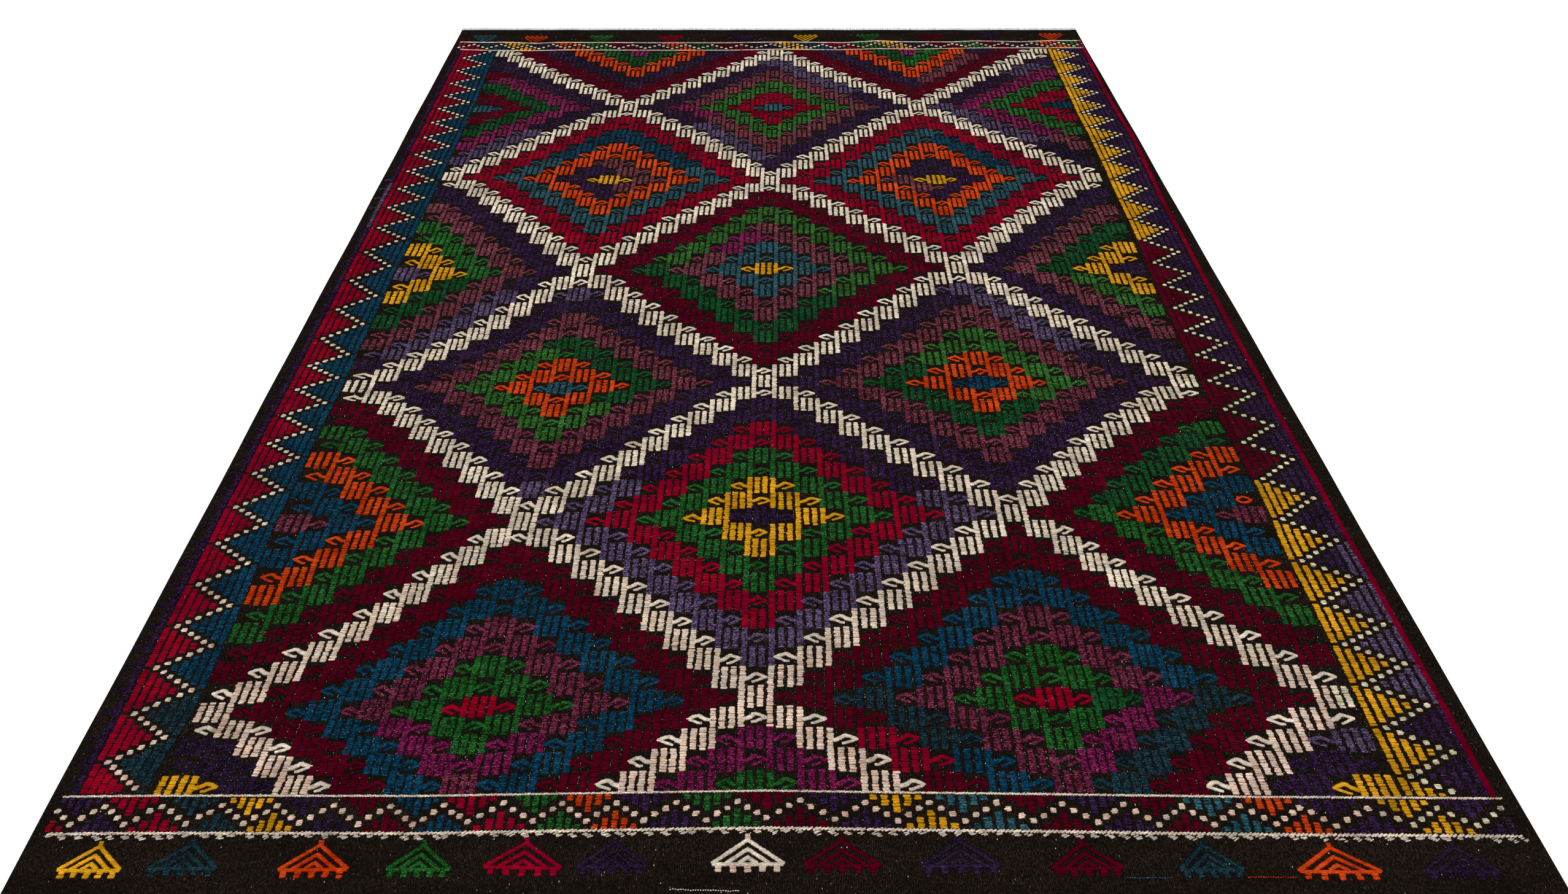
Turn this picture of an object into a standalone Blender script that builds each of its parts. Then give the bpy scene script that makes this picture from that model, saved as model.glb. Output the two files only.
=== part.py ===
"""A flat-woven kilim rug with a brocaded face, lying open on the floor.

Three pieces: the cloth, and at each end the short warp ends left when it was cut from the loom,
caught in a narrow twined strip. X runs across the rug, Y along it and Z up. The origin is on the
floor, under the middle of the rug. All sizes are in metres.
"""

import math
import random

import bmesh
import bpy

# The cloth
CLOTH_WIDTH = 1.620
CLOTH_LENGTH = 2.604
PLAIN_THICKNESS = 0.0022
BROCADE_THICKNESS = 0.0034
RIM_BEVEL = 0.0008

# Across the rug, measured inwards from each long edge
SELVEDGE_WIDTH = 0.0236
BROCADE_RISE = 0.0012
RED_RIB_WIDTH = 0.0115
RED_RIB_TOP = 0.0041

# The weaver's right-hand edge grew wider towards the far end: (Y, how far the red rib lies out of line)
RIB_DRIFT = (
    (-1.03, 0.0048),
    (-0.55, 0.0014),
    (-0.06, 0.0028),
    (0.30, 0.0072),
    (0.60, 0.0188),
    (0.91, 0.0136),
    (1.10, 0.0205),
)
DRIFT_START = 0.700

# The raised twined lines that frame the brocade, measured inwards from their end of the cloth
LINE_TOP = 0.0042
LINE_WIDTH = 0.0032
LINE_MARGIN = 0.0140
FAR_LINES = (0.0945, 0.1485)
NEAR_LINES = (0.1010, 0.1500)

# How far each line leans along Y from its place, at the left edge, the middle and the right edge
FAR_LEAN = (-0.0045, 0.0, 0.0065)
NEAR_LEAN = (-0.0030, 0.0025, -0.0045)

# Unevenness of a handwoven cloth
EDGE_WAVE = 0.0016
END_WAVE = 0.0028
FACE_WAVE = 0.0002

# The fringe
LOCKS_PER_END = 120
LOCKS_PER_SCALLOP = 3
SEAM_GAP = 0.0003
STRIP_WIDTH = 0.0036
STRIP_THICKNESS = 0.0016
LOCK_LENGTH = 0.0125
LOCK_LENGTH_SPREAD = 0.0040
LOCK_ROOT_SHARE = 0.56
LOCK_TIP_SHARE = 0.26
LOCK_TIP_THICKNESS = 0.0008
LOCK_SLANT = 0.0026

# Spacing of the cloth's points along Y in its plain and brocaded fields
FIELD_STEP = 0.060

CLOTH_COLOUR = (0.020, 0.014, 0.012)
FRINGE_COLOUR = (0.62, 0.58, 0.50)
WOOL_ROUGHNESS = 0.92

HALF_WIDTH = CLOTH_WIDTH / 2
HALF_LENGTH = CLOTH_LENGTH / 2
LOCK_PITCH = CLOTH_WIDTH / LOCKS_PER_END
SCALLOP_PITCH = LOCK_PITCH * LOCKS_PER_SCALLOP
SCALLOPS = LOCKS_PER_END // LOCKS_PER_SCALLOP
FAR, NEAR = 1, -1


def clear_objects():
    for item in list(bpy.data.objects):
        bpy.data.objects.remove(item, do_unlink=True)


def wool(name, colour):
    material = bpy.data.materials.new(name)
    material.use_nodes = True
    shader = material.node_tree.nodes["Principled BSDF"]
    shader.inputs["Base Color"].default_value = (*colour, 1.0)
    shader.inputs["Roughness"].default_value = WOOL_ROUGHNESS
    shader.inputs["Metallic"].default_value = 0.0
    return material


def add_object(name, bm, material):
    bmesh.ops.recalc_face_normals(bm, faces=bm.faces)
    mesh = bpy.data.meshes.new(name)
    bm.to_mesh(mesh)
    bm.free()
    mesh.materials.append(material)
    item = bpy.data.objects.new(name, mesh)
    bpy.context.scene.collection.objects.link(item)
    return item


def edge_draw_in(y, side):
    """How far a long edge is drawn in at y by the pull of the weft; it is never pushed out."""
    wave = math.sin(5.3 * y + 2.1 * side) * math.cos(11.7 * y - side)
    return EDGE_WAVE * (1 + wave) / 2


def end_draw_in(x, end):
    """How far an end is drawn in at x: shallow scallops, straight between the scallops' ends."""
    place = (x + HALF_WIDTH) / SCALLOP_PITCH
    first = min(max(int(place), 0), SCALLOPS - 1)

    def dip(i):
        return END_WAVE * (1 + math.sin(1.9 * i + end) * math.cos(0.37 * i + 0.5 * end)) / 2

    return dip(first) + (dip(first + 1) - dip(first)) * (place - first)


def lean(x, left, middle, right):
    """A smooth bow through three values, at the left edge, the middle and the right edge."""
    t = x / HALF_WIDTH
    return middle + (right - left) / 2 * t + ((left + right) / 2 - middle) * t * t


def rib_drift(x, y):
    """How far a point moves outwards with the red rib: fully beside the rib, fading out on either side."""
    rib = HALF_WIDTH - SELVEDGE_WIDTH
    inner = rib - RED_RIB_WIDTH - BROCADE_RISE
    if x <= DRIFT_START:
        return 0.0
    share = min(1.0, (x - DRIFT_START) / (inner - DRIFT_START), (HALF_WIDTH - x) / SELVEDGE_WIDTH)
    (y_before, drift_before), *rest = RIB_DRIFT
    drift = drift_before
    for y_after, drift_after in rest:
        if y > y_before:
            along = min(1.0, (y - y_before) / (y_after - y_before))
            drift = drift_before + (drift_after - drift_before) * along
        y_before, drift_before = y_after, drift_after
    return share * drift


def stations_along():
    """(Y, level) of each row of points, near end to far end. The level says what the row crosses."""
    half = LINE_WIDTH / 2
    field = HALF_LENGTH - max(NEAR_LINES[1], FAR_LINES[1]) - LINE_WIDTH
    steps = round(2 * field / FIELD_STEP)
    rows = [(-field + 2 * field * i / steps, "brocade") for i in range(steps + 1)]
    for end, (outer, inner) in ((NEAR, NEAR_LINES), (FAR, FAR_LINES)):
        from_end = [
            (0.0, "rim"),
            (RIM_BEVEL, "plain"),
            (outer / 2, "plain"),
            (outer - half, "plain"),
            (outer, "line"),
            (outer + half, "brocade"),
            ((outer + inner) / 2, "brocade"),
            (inner - half, "brocade"),
            (inner, "line"),
            (inner + half, "brocade"),
        ]
        rows += [(end * (HALF_LENGTH - inwards), level) for inwards, level in from_end]
    return sorted(rows)


def stations_across():
    """(X, level) of each column of points, left to right."""
    rib = HALF_WIDTH - SELVEDGE_WIDTH
    inner = HALF_WIDTH - SELVEDGE_WIDTH - RED_RIB_WIDTH - BROCADE_RISE
    columns = [(-HALF_WIDTH, "rim"), (RIM_BEVEL - HALF_WIDTH, "plain")]
    columns += [(LINE_MARGIN - HALF_WIDTH, "plain"), (-rib, "plain"), (BROCADE_RISE - rib, "brocade")]
    for i in range(1, SCALLOPS):
        x = -HALF_WIDTH + i * SCALLOP_PITCH
        if BROCADE_RISE - rib < x < inner:
            columns.append((x, "brocade"))
    columns += [(inner, "brocade"), (rib - RED_RIB_WIDTH, "rib"), (rib - BROCADE_RISE, "rib")]
    columns += [(rib, "plain"), (HALF_WIDTH - LINE_MARGIN, "plain")]
    columns += [(HALF_WIDTH - RIM_BEVEL, "plain"), (HALF_WIDTH, "rim")]
    return columns


def top_of(column_level, row_level, x, y):
    """Height of the face where a column and a row of points cross."""
    if "rim" in (column_level, row_level):
        return PLAIN_THICKNESS - RIM_BEVEL
    if row_level == "line" and abs(x) < HALF_WIDTH - LINE_MARGIN:
        return LINE_TOP
    if "plain" in (column_level, row_level):
        return PLAIN_THICKNESS
    if column_level == "rib":
        return RED_RIB_TOP
    return BROCADE_THICKNESS + FACE_WAVE * math.sin(9.0 * x + 4.0 * y) * math.cos(6.0 * y)


def place(x, y):
    """Moves a point of the ideal rectangle to where the uneven cloth has it."""
    side = math.copysign(1.0, x)
    x_real = x + rib_drift(x, y) - side * edge_draw_in(y, side) * (abs(x) / HALF_WIDTH) ** 8
    t = (y + HALF_LENGTH) / CLOTH_LENGTH
    bow = (1 - t) * lean(x, *NEAR_LEAN) + t * lean(x, *FAR_LEAN)
    end = FAR if y > 0 else NEAR
    inwards = HALF_LENGTH - abs(y)
    near_end = max(0.0, 1 - inwards / FAR_LINES[0])
    y_real = y + bow * (1 - near_end) - end * end_draw_in(x, end) * near_end
    return x_real, y_real


def make_cloth(material):
    rows, columns = stations_along(), stations_across()
    bm = bmesh.new()
    top = []
    for y, row_level in rows:
        line = []
        for x, column_level in columns:
            height = top_of(column_level, row_level, x, y)
            line.append(bm.verts.new((*place(x, y), height)))
        top.append(line)
    last_row, last_column = len(rows) - 1, len(columns) - 1

    # The underside lies flat: it has points only round the cloth's outline.
    foot = {}
    for j in range(len(rows)):
        for i in range(len(columns)):
            if j in (0, last_row) or i in (0, last_column):
                x, y, _ = top[j][i].co
                foot[j, i] = bm.verts.new((x, y, 0.0))

    for j in range(last_row):
        for i in range(last_column):
            bm.faces.new((top[j][i], top[j][i + 1], top[j + 1][i + 1], top[j + 1][i]))
    for j in range(last_row):
        for i in (0, last_column):
            bm.faces.new((top[j][i], top[j + 1][i], foot[j + 1, i], foot[j, i]))
    for i in range(last_column):
        for j in (0, last_row):
            bm.faces.new((top[j][i], top[j][i + 1], foot[j, i + 1], foot[j, i]))
    for j in range(last_row):
        lower = range(last_column + 1) if j == 0 else (0, last_column)
        upper = range(last_column + 1) if j + 1 == last_row else (0, last_column)
        outline = [foot[j, i] for i in lower] + [foot[j + 1, i] for i in reversed(upper)]
        bm.faces.new(outline)
    return add_object("cloth", bm, material)


def make_fringe(name, end, material, rng):
    """A strip along one end of the cloth, with a row of tapered locks growing out of it."""

    def strip_points(x):
        seam = HALF_LENGTH - end_draw_in(x, end) + SEAM_GAP
        outer = seam + STRIP_WIDTH
        corners = ((seam, 0.0), (seam, STRIP_THICKNESS), (outer, STRIP_THICKNESS), (outer, 0.0))
        return [bm.verts.new((x, end * y, z)) for y, z in corners]

    bm = bmesh.new()
    lengths = [LOCK_LENGTH - rng.random() * LOCK_LENGTH_SPREAD for _ in range(LOCKS_PER_END)]
    longest = rng.randrange(LOCKS_PER_END)
    root = LOCK_PITCH * LOCK_ROOT_SHARE
    tip = LOCK_PITCH * LOCK_TIP_SHARE
    tip_line = HALF_LENGTH + SEAM_GAP + STRIP_WIDTH + LOCK_LENGTH

    stations = []
    for k in range(LOCKS_PER_END):
        left = -HALF_WIDTH + k * LOCK_PITCH
        stations += [strip_points(left), strip_points(left + root)]
    stations.append(strip_points(HALF_WIDTH))
    seam_wall, face, outer_wall, underside = range(4)
    for k, (here, there) in enumerate(zip(stations, stations[1:])):
        grows_a_lock = k % 2 == 0
        walls = [seam_wall, face, underside] + [outer_wall] * (not grows_a_lock)
        for a in walls:
            b = (a + 1) % 4
            bm.faces.new((here[a], there[a], there[b], here[b]))
    bm.faces.new(stations[0])
    bm.faces.new(stations[-1])

    for k in range(LOCKS_PER_END):
        left, right = stations[2 * k], stations[2 * k + 1]
        middle = (left[2].co.x + right[2].co.x) / 2 + rng.uniform(-LOCK_SLANT, LOCK_SLANT)
        reach = abs(left[2].co.y) + lengths[k]
        if k == longest:
            reach = tip_line
        heights = (LOCK_TIP_THICKNESS, LOCK_TIP_THICKNESS, 0.0, 0.0)
        sides = (-tip / 2, tip / 2, tip / 2, -tip / 2)
        rim = [bm.verts.new((middle + s, end * reach, z)) for s, z in zip(sides, heights)]
        base = [left[2], right[2], right[3], left[3]]
        for a in range(4):
            b = (a + 1) % 4
            bm.faces.new((base[a], base[b], rim[b], rim[a]))
        bm.faces.new(rim)
    return add_object(name, bm, material)


def main():
    clear_objects()
    rng = random.Random(7)
    make_cloth(wool("cloth_wool", CLOTH_COLOUR))
    warp = wool("warp_ends", FRINGE_COLOUR)
    make_fringe("fringe_far", FAR, warp, rng)
    make_fringe("fringe_near", NEAR, warp, rng)


main()
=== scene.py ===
"""The looks of a brocaded kilim rug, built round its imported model.

The ground cloth is a thin sheet. The brocade on it is yarn: short floats of wool, laid side by side in
upright bars, hooks and dots, and charted below by column and row. X runs across the rug, Y along it
towards the far end and Z up, in metres. Columns of the chart count from the middle diamonds to the
right, rows from the far end of the field towards the near one.
"""

import math

import bpy
import numpy as np
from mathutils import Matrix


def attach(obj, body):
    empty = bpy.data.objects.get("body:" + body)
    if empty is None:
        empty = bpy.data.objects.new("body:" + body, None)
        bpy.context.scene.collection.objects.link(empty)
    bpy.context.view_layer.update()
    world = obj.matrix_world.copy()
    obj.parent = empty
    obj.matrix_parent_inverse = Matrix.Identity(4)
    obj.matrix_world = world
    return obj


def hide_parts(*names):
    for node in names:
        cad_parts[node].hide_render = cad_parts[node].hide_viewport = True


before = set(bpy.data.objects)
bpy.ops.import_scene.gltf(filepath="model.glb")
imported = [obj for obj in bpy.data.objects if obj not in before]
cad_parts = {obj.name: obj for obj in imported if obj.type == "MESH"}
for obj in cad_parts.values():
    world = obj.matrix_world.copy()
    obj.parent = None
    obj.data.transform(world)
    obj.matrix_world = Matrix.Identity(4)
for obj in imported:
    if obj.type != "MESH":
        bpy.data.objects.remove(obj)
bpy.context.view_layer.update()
RNG = np.random.default_rng(11)
MM = 0.001
FAR, NEAR = 1, -1
LEFT, RIGHT, BOTH = -1, 1, 0
OUTER, INNER = 0, 1

# ---------------------------------------------------------------- the cloth, as in the solids

CLOTH_WIDTH, CLOTH_LENGTH = 1.620, 2.604
HALF_WIDTH, HALF_LENGTH = CLOTH_WIDTH / 2, CLOTH_LENGTH / 2
PLAIN_TOP = 0.0022
RIM_BEVEL = 0.0008
SELVEDGE_WIDTH = 0.0236
BROCADE_RISE = 0.0012
RED_RIB_WIDTH = 0.0115
LINE_MARGIN = 0.0140
# By end: how far in the outer and the inner twined line lie, and how far the weave leans out of square
# at the left edge, in the middle and at the right edge
LINES = {FAR: (0.0945, 0.1485), NEAR: (0.1010, 0.1500)}
LEANS = {FAR: (-0.0045, 0.0, 0.0065), NEAR: (-0.0030, 0.0025, -0.0045)}
EDGE_WAVE, END_WAVE = 0.0016, 0.0028
# The power by which the draw-in of the long edges dies away towards the middle
EDGE_FADE = 8
SCALLOPS = 40
SCALLOP_PITCH = CLOTH_WIDTH / SCALLOPS
SEAM_GAP = 0.0003
STRIP_WIDTH = 0.0036
LOCK_LENGTH, LOCK_LENGTH_SPREAD = 0.0170, 0.0040

# (Y, how far the red rib lies out of line)
RIB_DRIFT = (
    (-1.03, 0.0048), (-0.55, 0.0014), (-0.06, 0.0028), (0.30, 0.0072), (0.60, 0.0188), (0.91, 0.0136),
    (1.10, 0.0205),
)
DRIFT_START = 0.700
RIB_OUTER = HALF_WIDTH - SELVEDGE_WIDTH
RIB_INNER = RIB_OUTER - RED_RIB_WIDTH

# ---------------------------------------------------------------- dyes, as sRGB values of 0 to 255

DYES = {
    "cream": (221, 207, 190), "crimson": (134, 8, 30), "maroon": (88, 6, 26), "rib_red": (108, 2, 29),
    "scarlet": (138, 8, 26), "orange": (198, 71, 26), "yellow": (203, 148, 34), "light_green": (43, 87, 39),
    "green": (33, 85, 38), "deep_green": (20, 66, 35), "teal": (40, 72, 82), "dark_teal": (22, 42, 50),
    "blue": (12, 50, 72), "indigo": (42, 26, 52), "night": (34, 24, 44), "slate": (71, 58, 83),
    "mauve": (94, 50, 58), "magenta": (104, 28, 66),
}
# How far light strands stand out of a dye: the mottled ones were carded from two wools
MOTTLED = {
    "slate": 1.2, "mauve": 1.0, "magenta": 0.9, "indigo": 0.7, "night": 0.5, "blue": 0.8, "teal": 0.8,
    "dark_teal": 0.8, "green": 0.8, "light_green": 0.8, "deep_green": 0.6,
}
# The factor by which a dye is darker at the near end than further up: one value, or one each for red, green
# and blue.
# The places after it are the Y up to which the factor holds in full and the Y where it has faded out.
NEAR_END_FACTORS = {
    "maroon": 0.76, "magenta": 0.78, "mauve": (0.80, 0.55, 0.80), "orange": 0.86, "cream": 0.92,
    "green": 0.74,
}
NEAR_END_PLACES = (-0.9, 0.1)
# The light wool took up some red from its neighbours near the near end, and is yellower in the right
# border, past YELLOW_START
CREAM_PALE = np.array([1.0, 1.0, 0.97])
CREAM_BLUSH = np.array([1.0, 0.88, 0.85])
BLUSH_START, BLUSH_LENGTH, BLUSH_JITTER = -0.70, 0.40, 0.22
CREAM_YELLOW = np.array([1.0, 1.03, 0.90])
YELLOW_START = 0.66
# From float to float: how uneven the light is, what mottling adds, its limits, and how far red and
# yellow go up and blue goes down in a warmer float
UNEVEN, UNEVEN_MOTTLED, LIGHT_LIMITS = 0.12, 0.10, (0.6, 1.5)
WARM, WARM_SHARES = 0.03, np.array([[1.0, 0.2, -1.0]])
# A painted sheen: the grey of a highlight, mixed into the brightest strands of the mottled wools, and the
# largest share of it
SHEEN_GREY = (128, 116, 122)
SHEEN_SHARE = 0.22
LIGHT_ON_FACE = 1.12
# The ground's dark brown and its lighter brown, which its material mixes by the wool's uneven tone and by
# painted shade in the valleys of its ribs and picks
GROUND_DARK = (14, 11, 9)
GROUND_BROWN = (62, 50, 42)
FLECK = (120, 104, 90)
COTTON = (214, 214, 204)
COTTON_SHADE = (84, 82, 76)
RIB_PITCH, PICK_PITCH = 1.9 * MM, 1.4 * MM

# ---------------------------------------------------------------- sizes of the yarn work

FLOAT_PITCH = 3.6 * MM
FLOAT_OVERLAP = 1.38
# How much of a column its bar of yarn fills, by dye and for the others
BAR_SHARES = {"cream": 0.75, "yellow": 0.76, "orange": 0.76, "maroon": 0.85, "crimson": 0.82}
BAR_SHARE = 0.79
YARN_FOOT, YARN_TOP, YARN_TOP_JITTER = 2.05 * MM, 3.45 * MM, 0.22 * MM
STRAND = 1.5 * MM
DOT_WIDTH, DOT_HEIGHT = 8.6 * MM, 6.8 * MM
DOT_LOT = 0.90
HOOK_STEP, HOOK_FLOAT = 2.4 * MM, 7.4 * MM
HOOK_STEM, HOOK_STROKE = 7.6 * MM, 5.5 * MM
# A hook's way back is made of shorter, thinner and darker floats than its way out
BACK_FLOAT, BACK_STROKE, BACK_LOT = 0.8 * HOOK_FLOAT, 0.9 * HOOK_STROKE, 0.96
EYE_FLOAT = 0.85 * HOOK_FLOAT
# Light warp that shows: stray flecks anywhere, and dotted lines of them down the gaps of the field
FLECKS = 2600
FLECK_AREA = ((-0.795, 0.795), (-1.285, 1.27))
FLECK_ROW_STEP = 0.092
FLECK_WIDTH = 0.84 * MM
GAP_FLECK_TOP, GAP_FLECK_LIGHT = 2.75 * MM, 0.55
RIB_STEP = 2.5 * MM
RIB_FACE = 9.6 * MM
RIB_RISE = 0.4 * MM

# The weave's grid, measured on the rug: by row of the chart, the X and Y in millimetres of the edges of
# the columns in GRID_COLUMNS
GRID_SPACING = 30
GRID_COLUMNS = np.arange(-58.0, 63.0, GRID_SPACING)
GRID = {
    0.0: ((-667, 1147), (-325, 1149), (16, 1152), (352, 1158), (685, 1162)),
    0.5: ((-669, 1125), (-328, 1129), (16, 1134), (352, 1142), (683, 1147)),
    10.5: ((-663, 773), (-328, 781), (6, 781), (340, 786), (679, 799)),
    20.5: ((-664, 418), (-338, 400), (-4, 396), (342, 402), (664, 413)),
    28.0: ((-668, 112), (-347, 119), (-11, 122), (340, 127), (666, 126)),
    30.5: ((-670, 6), (-351, 22), (-14, 28), (340, 32), (665, 28)),
    40.5: ((-665, -353), (-346, -359), (-19, -337), (332, -345), (658, -339)),
    50.5: ((-675, -691), (-351, -686), (-25, -677), (327, -667), (668, -672)),
    60.5: ((-669, -1035), (-362, -1026), (-32, -1008), (327, -1011), (660, -1009)),
    63.0: ((-673, -1098), (-362, -1094), (-33, -1085), (325, -1087), (661, -1091)),
    65.0: ((-676, -1154), (-363, -1152), (-33, -1149), (324, -1152), (662, -1157)),
}
GRID_ROWS = np.array(list(GRID))
GRID_PLACES = np.array(list(GRID.values())) * MM

# How far the middles of the lattice's legs lie off the even spacing between the places above, X and Y
# in millimetres: one row for each middle row, one pair for each middle column
LEG_ROWS = np.arange(5.5, 66, 10)
LEG_COLUMNS = np.arange(-43.0, 48, GRID_SPACING)
LEG_SHIFTS = MM * np.array((
    ((-5, -8), (7, -2), (-3, -4), (-13, -9)),
    ((1, 10), (12, 10), (0, 9), (-11, 7)),
    ((-3, 20), (8, 15), (-1, 10), (-8, 5)),
    ((2, -26), (2, -20), (-1, -12), (-5, 1)),
    ((3, 12), (2, 9), (-5, 5), (-10, 8)),
    ((8, -7), (4, 0), (1, -2), (-10, 4)),
    ((2, 0), (1, 0), (-2, 0), (-9, 0)),
))

# Places where the weave is pulled aside: (column, row, X and Y in millimetres), and how far that reaches
PULLS = (
    (-25, 51, -8, 0), (-32, 5, 0, 7), (37, 4, 0, -9), (11, 4.5, 0, -6), (-36, 34.3, 0, -8),
    (-17, 34.5, 0, -4), (8, 39, 0, -4), (8, 19, 0, -4), (-5, 19, 0, 4), (11, 24, 0, -3),
    (-2, 51.5, 0, 4), (-50, 37, 5, 0), (-50, 56, 4, 0), (37, 51, 6, 0), (60, 52.5, -8, 0),
    (52, 61.5, -7, 0),
)
PULL_COLUMNS, PULL_ROWS = 7, 2.6
# (row, how many millimetres the field's left edge lies outwards there), and the columns that stretch to it
LEFT_STRETCH = ((20, 0.0), (31, 3.0), (40, 8.0), (50, 4.5), (60, 3.0))
STRETCH_START, STRETCH_COLUMNS = -56, 4
# How far each float strays with its neighbours, in X and in Y, and the two waves of each by which it does
WANDER = (0.9 * MM, ((23, 9, 0.4), (-11, 17, 0))), (1.1 * MM, ((31, -13, 1.7), (7, 19, 0)))

FIRST_COLUMN, END_COLUMN = -60, 64
ROWS = 65
BLOCK, HOOK_CELL = 4, 2
BLOCK_STEP = BLOCK + HOOK_CELL
HALF_STEP = BLOCK_STEP // 2
LATTICE = 10
# Where a block's bars start and end, in rows: the outer bars, which blocks above and below share, and the
# inner ones, and where the field's first and last bars are cut
OUTER_SPAN, INNER_SPAN = (0.01, 1.0), (-0.02, 1.06)
FIELD_SPAN = (0.06, ROWS - 0.08)

# ---------------------------------------------------------------- the chart of the field

# Each stepped diamond: (first column of its middle block, middle row): dyes of its rings, outermost first
DIAMONDS = {
    (-30, 0): ("maroon", "indigo", "orange", "deep_green", "magenta"),
    (30, 0): ("maroon", "indigo", "orange", "green", "magenta"),
    (-60, 10): ("indigo", "magenta", "deep_green", "maroon", "teal"),
    (0, 10): ("indigo", "mauve", "light_green", "crimson", "teal"),
    (60, 10): ("indigo", "magenta", "green", "crimson", "blue"),
    (-30, 20): ("crimson", "teal", "orange", "indigo", "yellow"),
    (30, 20): ("crimson", "teal", "orange", "indigo", "yellow"),
    (-60, 30): ("indigo", "mauve", "green", "yellow", "slate"),
    (0, 30): ("maroon", "light_green", "mauve", "teal", "yellow"),
    (60, 30): ("indigo", "mauve", "deep_green", "yellow", "indigo"),
    (-30, 40): ("indigo", "mauve", "light_green", "orange", "teal"),
    (30, 40): ("indigo", "mauve", "light_green", "orange", "blue"),
    (-60, 50): ("maroon", "green", "orange", "blue", "mauve"),
    (0, 50): ("indigo", "crimson", "green", "yellow", "indigo"),
    (60, 50): ("maroon", "green", "orange", "blue", "mauve"),
    (-30, 60): ("maroon", "blue", "mauve", "green", "scarlet"),
    (30, 60): ("maroon", "blue", "mauve", "green", "scarlet"),
    (-60, 70): ("indigo", "yellow", "yellow", "yellow", "yellow"),
    (0, 70): ("magenta", "green", "green", "green", "green"),
    (60, 70): ("indigo", "yellow", "yellow", "yellow", "yellow"),
}

# Where the weaver went over to another lot of yarn inside a diamond's ring:
# (ring counted from its middle, side, first row, last row, new dye). A later line goes before an earlier.
CHANGES = {
    (-30, 0): ((3, LEFT, 2, 6, "night"),),
    (30, 0): ((3, RIGHT, 1, 8, "mauve"), (1, LEFT, 0, 9, "deep_green")),
    (0, 10): (
        (4, RIGHT, 2, 7, "slate"), (4, BOTH, 2, 2, "slate"), (4, LEFT, 13, 18, "slate"),
        (3, LEFT, 10, 11, "magenta"),
    ),
    (-60, 10): ((4, BOTH, 10, 13, "night"), (4, BOTH, 14, 19, "slate"), (3, BOTH, 4, 4, "maroon")),
    (60, 10): (
        (4, BOTH, 3, 4, "slate"), (4, BOTH, 10, 15, "slate"), (4, BOTH, 16, 18, "night"),
        (3, BOTH, 15, 16, "mauve"),
    ),
    (-30, 20): (
        (3, BOTH, 14, 17, "blue"), (3, RIGHT, 14, 18, "blue"), (1, BOTH, 18, 18, "mauve"),
        (1, RIGHT, 19, 21, "mauve"),
    ),
    (30, 20): ((1, LEFT, 20, 21, "mauve"), (3, RIGHT, 14, 18, "blue")),
    (0, 30): (
        (3, LEFT, 30, 35, "deep_green"), (3, RIGHT, 33, 36, "deep_green"), (3, BOTH, 36, 36, "deep_green"),
        (2, LEFT, 26, 28, "magenta"),
    ),
    (-60, 30): ((4, BOTH, 32, 37, "slate"), (2, BOTH, 31, 35, "deep_green")),
    (60, 30): ((2, BOTH, 31, 36, "light_green"),),
    (-30, 40): (
        (4, BOTH, 32, 32, "slate"), (4, BOTH, 48, 48, "slate"), (2, BOTH, 36, 36, "deep_green"),
        (2, RIGHT, 37, 41, "deep_green"),
    ),
    (30, 40): (
        (4, BOTH, 32, 32, "slate"), (4, RIGHT, 33, 37, "slate"), (2, LEFT, 39, 41, "deep_green"),
        (2, BOTH, 42, 46, "deep_green"),
    ),
    (0, 50): ((4, BOTH, 58, 58, "slate"), (4, LEFT, 48, 58, "slate"), (4, RIGHT, 49, 58, "slate")),
    (60, 50): ((3, BOTH, 45, 49, "deep_green"),),
    (-30, 60): ((2, LEFT, 61, 64, "magenta"), (2, RIGHT, 62, 64, "magenta")),
    (30, 60): (
        (4, LEFT, 62, 63, "crimson"), (3, RIGHT, 60, 64, "dark_teal"), (3, LEFT, 60, 62, "dark_teal"),
        (2, RIGHT, 60, 64, "magenta"), (2, LEFT, 64, 64, "magenta"), (1, RIGHT, 60, 60, "deep_green"),
    ),
    (60, 70): ((4, BOTH, 62, 62, "slate"),),
    (-60, 70): ((4, BOTH, 61, 64, "night"),),
}

# One hook, drawn outwards from the side of its block: (columns out, share of the row's height down)
HOOK_PATH = (
    (-0.10, 0.61), (0.35, 0.55), (0.92, 0.38), (1.40, 0.43), (2.05, 0.55), (1.50, 0.65), (1.00, 0.74),
    (0.68, 0.77),
)
HOOK_TIP = 5
# A closed eye, in the same units, from the left edge of its cell
EYE_PATH = (
    (0.15, 0.56), (0.5, 0.42), (1.0, 0.36), (1.5, 0.44), (1.85, 0.57), (1.4, 0.70), (0.9, 0.75),
    (0.4, 0.69), (0.1, 0.56),
)
# Cells (column, row) with an eye instead of a hook, those whose hook has a dye of its own and grows from
# the right, and those over and under the crossings whose hook grows from the block on the right
EYES = {(31, 51): "maroon", (61, 49): "orange"}
HOOK_DYES = {(-59, 1): "indigo"}
CROSSING_HOOKS_RIGHT = {(1, 19), (-29, 29), (31, 29), (-29, 49), (-29, 51), (31, 49)}

# ---------------------------------------------------------------- the chart of the borders

BORDER_COLUMNS = 8
LEFT_BORDER_START = -0.7815
# (Y, how much of its width the left border fills)
LEFT_BORDER_NARROW = ((-1.12, 0.90), (-0.99, 1.0))
STEPS_PER_TURN = 10
DOT_COLUMNS = 6
# Y in millimetres of every second turn of each zigzag
LEFT_TURNS = (1140, 966, 812, 654, 481, 317, 144, -70, -260, -400, -542, -693, -854, -998, -1142)
RIGHT_TURNS = (1120, 950, 792, 630, 448, 268, 92, -74, -226, -376, -546, -727, -888, -1022, -1160)
TURN_STEP = 2
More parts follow.
